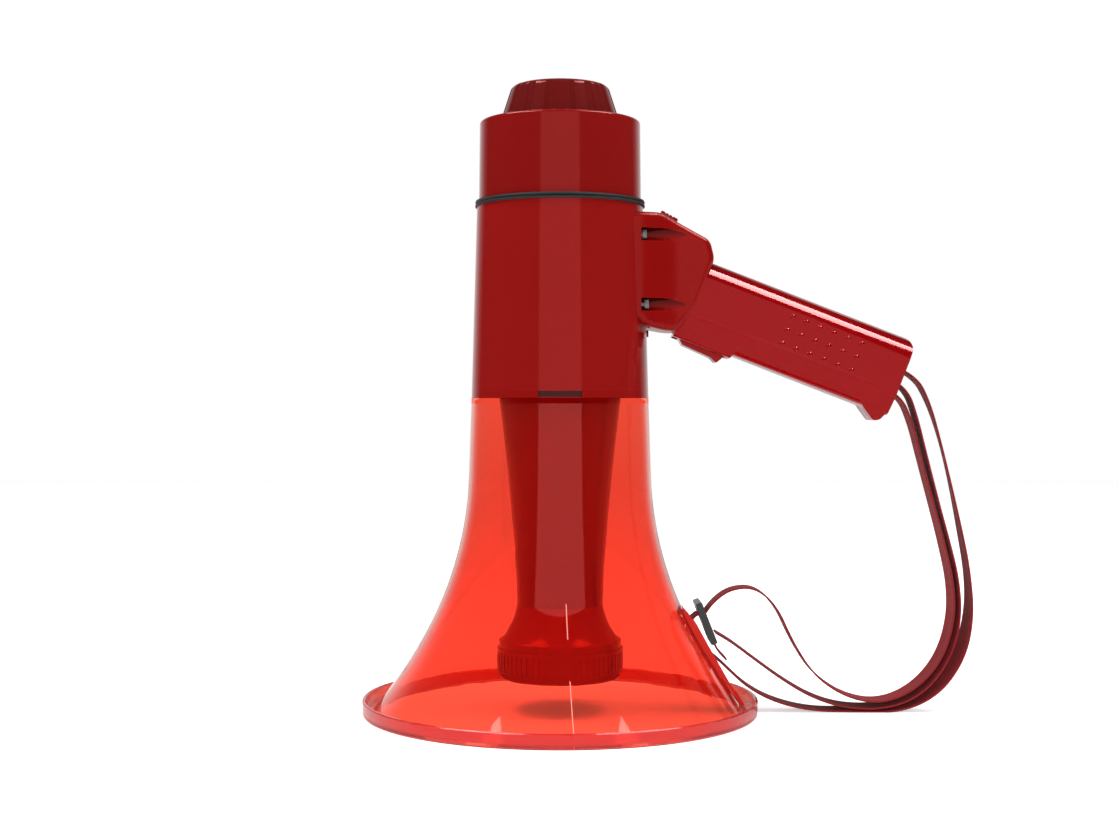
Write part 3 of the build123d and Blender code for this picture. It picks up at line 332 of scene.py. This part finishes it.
warm_gloss = (1, 0.22, 0.2, 1)      # tint of the red plastics' reflections
bell_red = make_clear_red("clear_red", (0.86, 0.19, 0.135), (0.93, 0.255, 0.185), (0.25, 0.006, 0.005))
body_red = make_moulded("body_red", (0.255, 0.007, 0.006), 0.05, tint=warm_gloss)
cover_red = make_moulded("cover_red", (0.215, 0.0065, 0.006), 0.05, tint=warm_gloss)
knob_red = make_moulded("knob_red", (0.125, 0.008, 0.007), 0.10, tint=warm_gloss)
horn_red = make_moulded("horn_red", (0.20, 0.005, 0.0045), 0.06, tint=warm_gloss)
cap_red = make_moulded("cap_red", (0.275, 0.013, 0.011), 0.08, tint=warm_gloss)
handle_red = make_moulded("handle_red", (0.30, 0.0015, 0.0028), 0.05, tint=(1, 0.3, 0.3, 1))
# The bracket's finish paints shade into its screw pockets.
bracket_red = make_moulded("bracket_red", (0.245, 0.0025, 0.0022), 0.2, tint=warm_gloss, pockets=True)
lug_red = make_moulded("lug_red", (0.62, 0.022, 0.016), 0.08, tint=warm_gloss)
soft_black = make_dull("soft_black", (0.012, 0.012, 0.012), 0.55, 0.0006, 0.00002)
hard_black = make_dull("hard_black", (0.02, 0.019, 0.019), 0.3, 0.0004, 0.000008)
plated_steel = make_metal("plated_steel", (0.72, 0.70, 0.68), 0.22)
dark_iron = make_metal("dark_iron", (0.18, 0.17, 0.17), 0.4)
can_metal = make_metal("can_metal", (0.75, 0.76, 0.78), 0.3)
board_green = make_dull("board_green", (0.03, 0.14, 0.05), 0.25, 0.0008, 0.00001)
film_brown = make_dull("film_brown", (0.35, 0.16, 0.05), 0.35, 0.0006, 0.00001)
webbing_red = make_webbing("webbing_red", (0.30, 0.014, 0.018))

# The finish of each material slot, then of the nodes that differ from their slot.
finishes = {
    "bell_plastic": bell_red,
    "red_plastic": body_red,
    "handle_plastic": handle_red,
    "black_plastic": hard_black,
    "black_rubber": soft_black,
    "steel": plated_steel,
    "magnet_iron": dark_iron,
    "aluminium_parts": can_metal,
    "circuit_board": board_green,
    "diaphragm_film": film_brown,
    "webbing": webbing_red,
}
special = {
    "strap_lug": lug_red,
    "rear_cover": cover_red,
    "volume_knob": knob_red,
    "mic_grille": knob_red,
    "mic_holder": knob_red,
    "inner_horn": horn_red,
    "horn_spider": horn_red,
    "driver_housing": cap_red,
    "driver_cap": cap_red,
    "mode_switch_knob": bracket_red,
    "mode_switch_body": bracket_red,
    "bracket_screws": dark_iron,
}


def finish_nodes():
    """Every carried-over node gets its own finish, or its slot's."""
    for part in frame["record"]["subparts"]:
        node = nodes[part["node"]]
        finish = special.get(part["node"], finishes[part["material_slot"]])
        node.data.materials.clear()
        node.data.materials.append(finish)


finish_nodes()


# ---------------------------------------------------------------- modelling
def start_block(name, low, high):
    """A block between two corners, open for editing with all of it selected."""
    bpy.ops.object.select_all(action="DESELECT")
    middle = [(a + b) / 2 for a, b in zip(low, high)]
    bpy.ops.mesh.primitive_cube_add(size=1, location=middle, scale=[b - a for a, b in zip(low, high)])
    return settle(name)


def start_rod(name, centre, radius, length, turn=(0, 0, 0), sides=48):
    """A round bar about a centre, open for editing with all of it selected."""
    bpy.ops.object.select_all(action="DESELECT")
    bpy.ops.mesh.primitive_cylinder_add(
        vertices=sides, radius=radius, depth=length, location=centre, rotation=turn)
    return settle(name)


def settle(name):
    """Names the new primitive, puts its place into its mesh and opens it for editing."""
    piece = bpy.context.active_object
    piece.name = name
    bpy.ops.object.transform_apply(location=True, rotation=True, scale=True)
    bpy.ops.object.mode_set(mode="EDIT")
    bpy.context.tool_settings.mesh_select_mode = (False, True, False)
    return piece


def pick(piece, kind, wanted):
    """Selects only the edges or faces that pass a test."""
    bpy.ops.mesh.select_all(action="DESELECT")
    shape = bmesh.from_edit_mesh(piece.data)
    for item in getattr(shape, kind):
        if wanted(item):
            item.select_set(True)
    bmesh.update_edit_mesh(piece.data)


def middle_of(edge):
    """Point halfway along an edge."""
    return (edge.verts[0].co + edge.verts[1].co) / 2


def fold_of(edge):
    """Angle between an edge's two faces."""
    return edge.calc_face_angle(0.0)


def cut_plane(place, normal, **how):
    """Cuts the selected faces along a plane."""
    bpy.ops.mesh.bisect(plane_co=place, plane_no=Vector(normal).normalized(), threshold=0.000001, **how)


def slice_off(place, normal):
    """Cuts away what lies beyond a plane and closes the cut."""
    bpy.ops.mesh.select_all(action="SELECT")
    cut_plane(place, normal, use_fill=True, clear_outer=True)


def trim(outline):
    """Cuts away what lies outside each side of an outline in x and z."""
    for (x0, z0), (x1, z1) in zip(outline, outline[1:]):
        slice_off((x0, 0, z0), (z0 - z1, 0, x1 - x0))


def score(place, normal):
    """Adds edges where a plane meets the piece."""
    bpy.ops.mesh.select_all(action="SELECT")
    cut_plane(place, normal)


def combine(piece, tool, operation):
    """Cuts a tool out of a piece, or adds it, and removes the tool."""
    bpy.ops.object.select_all(action="DESELECT")
    bpy.context.view_layer.objects.active = piece
    joint = piece.modifiers.new("joint", "BOOLEAN")
    joint.operation = operation
    joint.solver = "EXACT"
    joint.object = tool
    bpy.ops.object.modifier_apply(modifier="joint")
    bpy.data.objects.remove(tool)


def close():
    """Ends the editing of a piece."""
    bpy.ops.object.mode_set(mode="OBJECT")


def closed(tool):
    """Ends the editing of a tool that is to be combined."""
    close()
    return tool


def complete(piece, body, finish, angle=38):
    """Merges doubles, turns faces outwards, smooths gentle folds and hands the piece over."""
    bpy.ops.object.select_all(action="DESELECT")
    piece.select_set(True)
    bpy.context.view_layer.objects.active = piece
    bpy.ops.object.transform_apply(location=True, rotation=True, scale=True)
    bpy.ops.object.mode_set(mode="EDIT")
    bpy.ops.mesh.select_all(action="SELECT")
    bpy.ops.mesh.remove_doubles(threshold=0.000002)
    bpy.ops.mesh.normals_make_consistent(inside=False)
    bpy.ops.object.mode_set(mode="OBJECT")
    bpy.ops.object.shade_smooth_by_angle(angle=radians(angle))
    piece.data.materials.clear()
    piece.data.materials.append(finish)
    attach(piece, body)
    return piece


# ---------------------------------------------------------------- rear cover
def make_cover():
    """Cap over the batteries: a short tapered drum with a softly broken top edge, open below."""
    low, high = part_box("rear_cover")
    foot, roof = low[2], high[2]
    base, top = high[0], high[0] - 0.0005
    wall, rounding, hub_radius = 0.0023, 0.0018, 0.0095
    drum = start_rod("cover_shell", (0, 0, (foot + roof) / 2), base, roof - foot, sides=160)
    pick(drum, "edges", lambda edge: middle_of(edge).z > roof - 0.0001)
    bpy.ops.transform.resize(value=(top / base, top / base, 1), center_override=(0, 0, roof))
    bpy.ops.mesh.bevel(offset=rounding, segments=5, affect="EDGES")
    pick(drum, "faces", lambda face: face.normal.z < -0.9)
    bpy.ops.mesh.inset(thickness=wall)
    bpy.ops.mesh.extrude_region_move(TRANSFORM_OT_translate={"value": (0, 0, roof - foot - wall)})
    close()
    combine(drum, closed(start_rod("hub_hole", (0, 0, roof), hub_radius, 0.02)), "DIFFERENCE")
    complete(drum, "rear_cover_group", cover_red)
    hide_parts("rear_cover")


make_cover()


# ---------------------------------------------------------------- handle
# The bracket's outline in x and z, its half width from root to tip, and the heights at which its
# sides get extra edges, so that they shade evenly between the pockets.
bracket_outline = [(0.0580, 0.2891), (0.0864, 0.2734), (0.0890, 0.2626), (0.0791, 0.2360),
                   (0.0676, 0.2208), (0.0600, 0.2212), (0.0500, 0.2234), (0.0445, 0.2264),
                   (0.0380, 0.2320)]
bracket_half = 0.0245
bracket_widths = [(0.040, 0.0249), (0.045, 0.0247), (0.0485, 0.0240), (0.052, 0.0228), (0.056, 0.0211),
                  (0.060, 0.0194), (0.064, 0.0181), (0.068, 0.0173), (0.073, 0.0168), (0.095, 0.0166)]
side_rows = [0.2280, 0.2316, 0.2410, 0.2440, 0.2500, 0.2560, 0.2620, 0.2680, 0.2712, 0.2806]
pocket_end = 0.100              # past the bracket's tip
slot_offset = 0.0067            # from the bracket's crest down its slope to the slide switch
grip_lean = radians(21.2)
grip_root = (0.0807, 0.0, 0.2393)
grip_end, grip_half, grip_back, grip_front = 0.1249, 0.016, 0.0232, -0.0229
grip_screws = ((0.038, 0.0), (0.104, 0.014), (0.104, -0.014))
stud_radius = 0.0021
toe_outline = [(0.1249, -0.0195), (0.1220, -0.0269), (0.1182, -0.0291), (0.1115, -0.0243),
               (0.1055, -0.0205)]


def bracket_width(x):
    """Half width of the bracket at a distance from the horn's axis."""
    for (a, wide), (b, slim) in zip(bracket_widths, bracket_widths[1:]):
        if x <= b:
            return wide + (slim - wide) * max(0.0, x - a) / (b - a)
    return bracket_widths[-1][1]


def make_bracket():
    """Bracket that carries the grip: soft edges all round and two open screw pockets on each side."""
    bracket = start_block(
        "bracket_shell", (0.0405, -bracket_half, 0.2200), (0.0900, bracket_half, 0.2891))
    trim(bracket_outline)
    pick(bracket, "edges", lambda edge: fold_of(edge) > radians(8) and middle_of(edge).x > 0.041
         and abs(edge.verts[0].co.y - edge.verts[1].co.y) > 0.04)
    bpy.ops.mesh.bevel(offset=0.003, segments=4, affect="EDGES")
    for x, _ in bracket_widths[1:-1]:
        score((x, 0, 0), (1, 0, 0))
    shape = bmesh.from_edit_mesh(bracket.data)
    for corner in shape.verts:
        corner.co.y *= bracket_width(corner.co.x) / bracket_half
    bmesh.update_edit_mesh(bracket.data)
    pick(bracket, "edges", lambda edge: fold_of(edge) > radians(50) and middle_of(edge).x > 0.041
         and abs(middle_of(edge).y) > 0.016)
    bpy.ops.mesh.bevel(offset=0.0036, segments=5, affect="EDGES")
    for row in side_rows:
        pick(bracket, "faces", lambda face: face.calc_center_median().x < 0.067
             and abs(face.normal.y) > 0.88)
        cut_plane((0, 0, row), (0, 0, 1))
    close()
    for level in screw_levels:
        for side in (-1, 1):
            near, far = sorted((side * screw_y, side * (bracket_half + 0.0095)))
            gap = start_block("gap", (pocket_start, near, level - pocket_radius),
                              (pocket_end, far, level + pocket_radius))
            combine(bracket, closed(gap), "DIFFERENCE")
            middle = ((pocket_start + pocket_end) / 2, side * screw_y, level)
            depth = pocket_end - pocket_start
            bore = start_rod("bore", middle, pocket_radius, depth, (0, pi / 2, 0), 32)
            combine(bracket, closed(bore), "DIFFERENCE")
    (x0, z0), (x1, z1) = bracket_outline[:2]
    slope = atan2(z0 - z1, x1 - x0)
    slot_middle = (x0 + slot_offset * cos(slope), 0, z0 - slot_offset * sin(slope))
    bpy.ops.object.select_all(action="DESELECT")
    bpy.ops.mesh.primitive_cube_add(size=1, location=slot_middle, rotation=(0, slope, 0),
                                    scale=(0.009, 0.0048, 0.008))
    combine(bracket, closed(settle("slot")), "DIFFERENCE")
    complete(bracket, "main", bracket_red)
    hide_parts("handle_bracket")


def length_along(edge):
    """How far an edge runs along X."""
    return abs(edge.verts[0].co.x - edge.verts[1].co.x)


def make_grip_bar():
    """The grip's bar: a round back, sides that close in below their middle and a round upper heel."""
    waist, heel = -0.0105, 0.007
    grip = start_block("grip_shell", (-0.004, -grip_half, grip_front), (grip_end, grip_half, grip_back))
    for side in (-1, 1):
        slice_off((0, side * grip_half, waist), (0, side * 0.0124, -0.0044))
    bevels = [(grip_back, 0.0138, 14), (grip_front, 0.0035, 5), (waist, 0.0022, 3)]
    for height, offset, segments in bevels:
        pick(grip, "edges", lambda edge: length_along(edge) > 0.1
             and abs(middle_of(edge).z - height) < 0.001)
        bpy.ops.mesh.bevel(offset=offset, segments=segments, affect="EDGES")
    for step in range(1, 6):
        turn = radians(90) * step / 6
        slice_off((grip_end - heel * (1 - sin(turn)), 0, grip_back - heel * (1 - cos(turn))),
                  (sin(turn), 0, cos(turn)))
    close()
    return grip


def add_collar(grip):
    """Raised collar round the trigger, cut off on a slant."""
    collar = start_block("collar", (-0.007, -grip_half, -0.0252), (0.0380, grip_half, -0.0060))
    slice_off((0.0276, 0, -0.0270), (0.0220, 0, -0.0082))
    for side in (-1, 1):
        slice_off((0, side * grip_half, -0.0100), (0, side * 0.0152, -0.0034))
    pick(collar, "edges", lambda edge: length_along(edge) > 0.03 and middle_of(edge).z < -0.007)
    bpy.ops.mesh.bevel(offset=0.002, segments=4, affect="EDGES")
    combine(grip, closed(collar), "UNION")


def add_toe(grip):
    """Hooked toe that keeps the hand from slipping off."""
    toe = start_block("toe", (0.1055, -0.0128, -0.0291), (grip_end - 0.0002, 0.0128, -0.0180))
    trim(toe_outline)
    pick(toe, "edges", lambda edge: fold_of(edge) > radians(20) and middle_of(edge).z < -0.0195)
    bpy.ops.mesh.bevel(offset=0.0014, segments=3, affect="EDGES")
    combine(grip, closed(toe), "UNION")


def add_studs(grip):
    """Three rows of six low studs on each side."""
    for side in (-1, 1):
        for row in range(3):
            for column in range(6):
                bpy.ops.object.select_all(action="DESELECT")
                bpy.ops.mesh.primitive_uv_sphere_add(
                    segments=14, ring_count=8, radius=stud_radius,
                    location=(0.0530 + 0.00854 * column, side * 0.01475, 0.0096 - 0.00825 * row))
                combine(grip, closed(settle("stud")), "UNION")


def make_grip():
    """Grip, drawn lying along X with its back up, then leaned and moved to its place."""
    grip = make_grip_bar()
    add_collar(grip)
    add_toe(grip)
    window = start_block("window", (-0.0069, -0.0080, -0.0330), (0.0261, 0.0080, -0.0194))
    combine(grip, closed(window), "DIFFERENCE")
    pocket = start_block(
        "pocket", (grip_end - 0.013, -0.0085, -0.0118), (grip_end + 0.005, 0.0085, 0.0086))
    combine(grip, closed(pocket), "DIFFERENCE")
    for x, z in grip_screws:
        sink = start_rod("sink", (x, 0.0165, z), 0.0031, 0.007, (pi / 2, 0, 0), 32)
        combine(grip, closed(sink), "DIFFERENCE")
    add_studs(grip)
    bpy.context.view_layer.objects.active = grip
    grip.rotation_euler = (0, grip_lean, 0)
    grip.location = grip_root
    complete(grip, "main", handle_red)
    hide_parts("grip_left", "grip_right")


make_bracket()
make_grip()


# ---------------------------------------------------------------- strap
bar_x, bar_z = 0.190975, 0.194811       # the bar in the grip's foot
bell_neck = 0.0515                      # outside radius at the shoulder
bell_taper = 0.033                      # growth of the radius per metre below it
flare_start = 0.140                     # height below which the flare opens
flare_growth = 0.052529                 # what the flare adds at the rim
flare_power = 2.14


def bell_radius(z):
    """Outside of the bell's flare at a height."""
    rise = max(0.0, 1 - z / flare_start)
    return bell_neck + bell_taper * (bell_shoulder - z) + flare_growth * rise ** flare_power


def strap_route(from_bar, from_bell):
    """Points measured from the strap bar, then points measured outwards from the bell at a height."""
    near_bar = [(bar_x + x, bar_z + z) for x, z in from_bar]
    near_bell = [(bell_radius(z) + gap, z) for gap, z in from_bell]
    return near_bar + near_bell


outer_route = strap_route([(0.0020, 0.0066), (0.0155, 0.0012), (0.0240, -0.0148), (0.0308, -0.0368),
                           (0.0366, -0.0608), (0.0420, -0.0868), (0.0470, -0.1128), (0.0484, -0.1378)],
                          [(0.1479, 0.0330), (0.1189, 0.0120), (0.0890, 0.0014), (0.0624, 0.0008),
                           (0.0366, 0.0009), (0.0190, 0.0064), (0.0100, 0.0150), (0.0063, 0.0254),
                           (0.0040, 0.0310), (0.0018, 0.0342)])
middle_route = strap_route([(0.0022, -0.0021), (0.0104, -0.0066), (0.0160, -0.0222), (0.0214, -0.0442),
                            (0.0274, -0.0676), (0.0344, -0.0938), (0.0398, -0.1188), (0.0402, -0.1432)],
                           [(0.1341, 0.0278), (0.1050, 0.0094), (0.0782, 0.0022), (0.0572, 0.0029),
                            (0.0436, 0.0084), (0.0341, 0.0184), (0.0263, 0.0296), (0.0203, 0.0380),
                            (0.0161, 0.0429), (0.0120, 0.0462)])
inner_route = strap_route([(-0.0028, -0.0068), (0.0066, -0.0104), (0.0134, -0.0262), (0.0189, -0.0479),
                           (0.0252, -0.0714), (0.0321, -0.0974), (0.0373, -0.1208), (0.0374, -0.1424)],
                          [(0.1332, 0.0300), (0.1061, 0.0130), (0.0799, 0.0050), (0.0626, 0.0092),
                           (0.0538, 0.0214), (0.0537, 0.0408), (0.0552, 0.0616), (0.0474, 0.0728),
                           (0.0324, 0.0718), (0.0181, 0.0636), (0.0117, 0.0576)])


def read_line(route):
    """Points along the smooth line that a strand's route controls."""
    curve = bpy.data.curves.new("line", "CURVE")
    curve.dimensions = "3D"
    curve.resolution_u = 10
    spline = curve.splines.new("NURBS")
    spline.points.add(len(route) - 1)
    for point, (x, z) in zip(spline.points, route):
        point.co = (x, 0, z, 1)
    spline.order_u = 3
    spline.use_endpoint_u = True
    holder = bpy.data.objects.new("line", curve)
    mesh = bpy.data.meshes.new_from_object(holder)
    line = [vertex.co.copy() for vertex in mesh.vertices]
    bpy.data.objects.remove(holder)
    bpy.data.meshes.remove(mesh)
    return line


def line_length(line):
    """Length of a line through its points."""
    return sum((b - a).length for a, b in zip(line, line[1:]))


# Section of the tape with its selvedges, as shares of its width and thickness.
tape_section = [(-0.5, -0.30), (-0.47, -0.5), (-0.42, -0.42), (0.42, -0.42), (0.47, -0.5), (0.5, -0.30),
                (0.5, 0.30), (0.47, 0.5), (0.42, 0.42), (-0.42, 0.42), (-0.47, 0.5), (-0.5, 0.30)]


def make_tape(name, line, twist):
    """Woven tape along a line; twist(s) turns it about the line, s running from 0 to 1."""
    total = line_length(line)
    verts, faces, uvs = [], [], []
    run = 0.0
    count = len(tape_section)
    for i, here in enumerate(line):
        before, after = line[max(i - 1, 0)], line[min(i + 1, len(line) - 1)]
        ahead = (after - before).normalized()
        if i:
            run += (here - line[i - 1]).length
        across = Matrix.Rotation(twist(run / total), 3, ahead) @ Vector((0, 1, 0))
        up = ahead.cross(across)
        for a, b in tape_section:
            verts.append(here + across * (a * webbing_width) + up * (b * webbing_thickness))
            uvs.append((run, a * webbing_width))
    for i in range(len(line) - 1):
        for k in range(count):
            n = (k + 1) % count
            faces.append((i * count + k, i * count + n, (i + 1) * count + n, (i + 1) * count + k))
    faces.append(tuple(reversed(range(count))))
    faces.append(tuple(range((len(line) - 1) * count, len(line) * count)))
    mesh = bpy.data.meshes.new(name)
    mesh.from_pydata(verts, [], faces)
    layer = mesh.uv_layers.new(name="weave")
    for loop in mesh.loops:
        layer.data[loop.index].uv = uvs[loop.vertex_index]
    mesh.materials.append(webbing_red)
    tape = bpy.data.objects.new(name, mesh)
    bpy.context.collection.objects.link(tape)
    bpy.ops.object.select_all(action="DESELECT")
    tape.select_set(True)
    bpy.context.view_layer.objects.active = tape
    bpy.ops.object.mode_set(mode="EDIT")
    bpy.ops.mesh.select_all(action="SELECT")
    bpy.ops.mesh.normals_make_consistent(inside=False)
    bpy.ops.object.mode_set(mode="OBJECT")
    bpy.ops.object.shade_smooth_by_angle(angle=radians(50))
    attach(tape, "main")
    return tape


def swell(s, start, peak, end, most):
    """Turn that grows from a start to a peak and dies away by the end."""
    if s <= start or s >= end:
        return 0.0
    share = (s - start) / (peak - start) if s < peak else (end - s) / (end - peak)
    return most * 0.5 * (1 - cos(pi * share))


# How far each strand is turned about its length, s running from the grip to the bell.
def twist_outer(s):
    return swell(s, 0.02, 0.18, 0.38, radians(9)) - swell(s, 0.36, 0.56, 0.80, radians(17))


def twist_middle(s):
    return -swell(s, 0.24, 0.48, 0.80, radians(14))


def twist_inner(s):
    return -swell(s, 0.15, 0.42, 0.70, radians(5))


def make_strap():
    """Three strands between the grip and the bell's lug."""
    strands = {
        "outer": (outer_route, ["strap_lug_loop", "strap_tail"], twist_outer),
        "middle": (middle_route, ["strap_slider"], twist_middle),
        "inner": (inner_route, ["strap_slider"], twist_inner),
    }
    for name, (route, ends, twist) in strands.items():
        line = read_line(route)
        tape = make_tape("tape_" + name, line, twist)
        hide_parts("strap_" + name)


make_strap()


# ---------------------------------------------------------------- room and light
def make_floor():
    """Plain pale floor, which glows a little for the eye but not for reflections, and glows less under
    the bell as a painted shadow.
    """
    bpy.ops.object.select_all(action="DESELECT")
    bpy.ops.mesh.primitive_plane_add(size=6, location=(0, 0, 0))
    floor = bpy.context.active_object
    floor.name = "pale_floor"
    mix = Mix("pale_floor")
    seen = mix.node("ShaderNodeLightPath", {}, {}, "Is Camera Ray")
    through = mix.node("ShaderNodeLightPath", {}, {}, "Is Transmission Ray")
    matt = mix.shader(Base_Color=(0.82, 0.82, 0.82, 1), Roughness=0.9)
    x, y, z = mix.here()
    # Painted shadow: under the bell the floor glows dimmer and warmer.
    painted_bell_shadow = ((x * x + y * y) ** 0.5).maths("LESS_THAN", painted_shadow_radius)
    colour = mix.blend(painted_bell_shadow, (1, 1, 1, 1), (0.35, 0.33, 0.28, 1))
    glow = mix.node("ShaderNodeEmission", {}, {"Color": colour, "Strength": 0.55})
    lit = mix.node("ShaderNodeAddShader", {}, {0: matt, 1: glow})
    share = (seen + through).clamped()
    floor.data.materials.append(mix.done(mix.layer(share, matt, lit)))


def make_world():
    """White all round for the eye; in reflections, white behind the object and dark in front of it."""
    world = bpy.data.worlds.new("room")
    bpy.context.scene.world = world
    world.use_nodes = True
    tree = world.node_tree
    tree.nodes.clear()

    def add(kind, **sockets):
        made = tree.nodes.new(kind)
        for name, value in sockets.items():
            made.inputs[name].default_value = value
        return made

    def shade(strength):
        return add("ShaderNodeBackground", Color=(1, 1, 1, 1), Strength=strength)

    def choose(share, first, second):
        mixed = tree.nodes.new("ShaderNodeMixShader")
        for place, source in enumerate((share, first.outputs[0], second.outputs[0])):
            tree.links.new(source, mixed.inputs[place])
        return mixed

    paths = tree.nodes.new("ShaderNodeLightPath")
    toward = tree.nodes.new("ShaderNodeTexCoord")
    split = tree.nodes.new("ShaderNodeSeparateXYZ")
    tree.links.new(toward.outputs["Generated"], split.inputs[0])
    behind = tree.nodes.new("ShaderNodeMapRange")
    behind.interpolation_type = "SMOOTHSTEP"
    behind.inputs["From Min"].default_value = 0.55
    behind.inputs["From Max"].default_value = 1.0
    tree.links.new(split.outputs["Y"], behind.inputs["Value"])
    either = tree.nodes.new("ShaderNodeMath")
    either.operation = "MAXIMUM"
    tree.links.new(paths.outputs["Is Camera Ray"], either.inputs[0])
    tree.links.new(paths.outputs["Is Transmission Ray"], either.inputs[1])
    mirrored = choose(behind.outputs[0], shade(0.03), shade(0.9))
    lighting = choose(paths.outputs["Is Glossy Ray"], shade(0.5), mirrored)
    seen = choose(either.outputs[0], lighting, shade(1.0))
    out = tree.nodes.new("ShaderNodeOutputWorld")
    tree.links.new(seen.outputs[0], out.inputs[0])


def hang_lamp(name, place, turn, size, radiance):
    """Soft rectangular lamp of an even radiance, which shines along its own -Z."""
    lamp = bpy.data.lights.new(name, "AREA")
    lamp.shape = "RECTANGLE"
    lamp.size, lamp.size_y = size
    lamp.energy = radiance * pi * size[0] * size[1]
    holder = bpy.data.objects.new(name, lamp)
    holder.location = place
    holder.rotation_euler = turn
    bpy.context.collection.objects.link(holder)
    return holder


make_floor()
make_world()
hang_lamp("front_card", (0, -1.6, 0.67), (pi / 2, 0, 0), (1.64, 1.34), 1.2)
lamp_x, lamp_turn = 0.782, radians(21)
for side in (-1, 1):
    overhead = hang_lamp(
        "overhead", (side * lamp_x, -0.063, 1.5), (0, 0, -side * lamp_turn), (0.6, 1.0), 9.8)
# The grip's back mirrors a brighter, nearer lamp in place of the right one overhead.
gleam = hang_lamp("gleam", (lamp_x, -0.47, 1.49), (0, 0, -lamp_turn), (0.6, 0.72), 34)
gleam.visible_diffuse = False
for lamp, state in ((gleam, "INCLUDE"), (overhead, "EXCLUDE")):
    lit = bpy.data.collections.new(lamp.name + "_on")
    lit.objects.link(bpy.data.objects["grip_shell"])
    lit.collection_objects[0].light_linking.link_state = state
    lamp.light_linking.receiver_collection = lit

scene = bpy.context.scene
scene.view_settings.view_transform = "Standard"
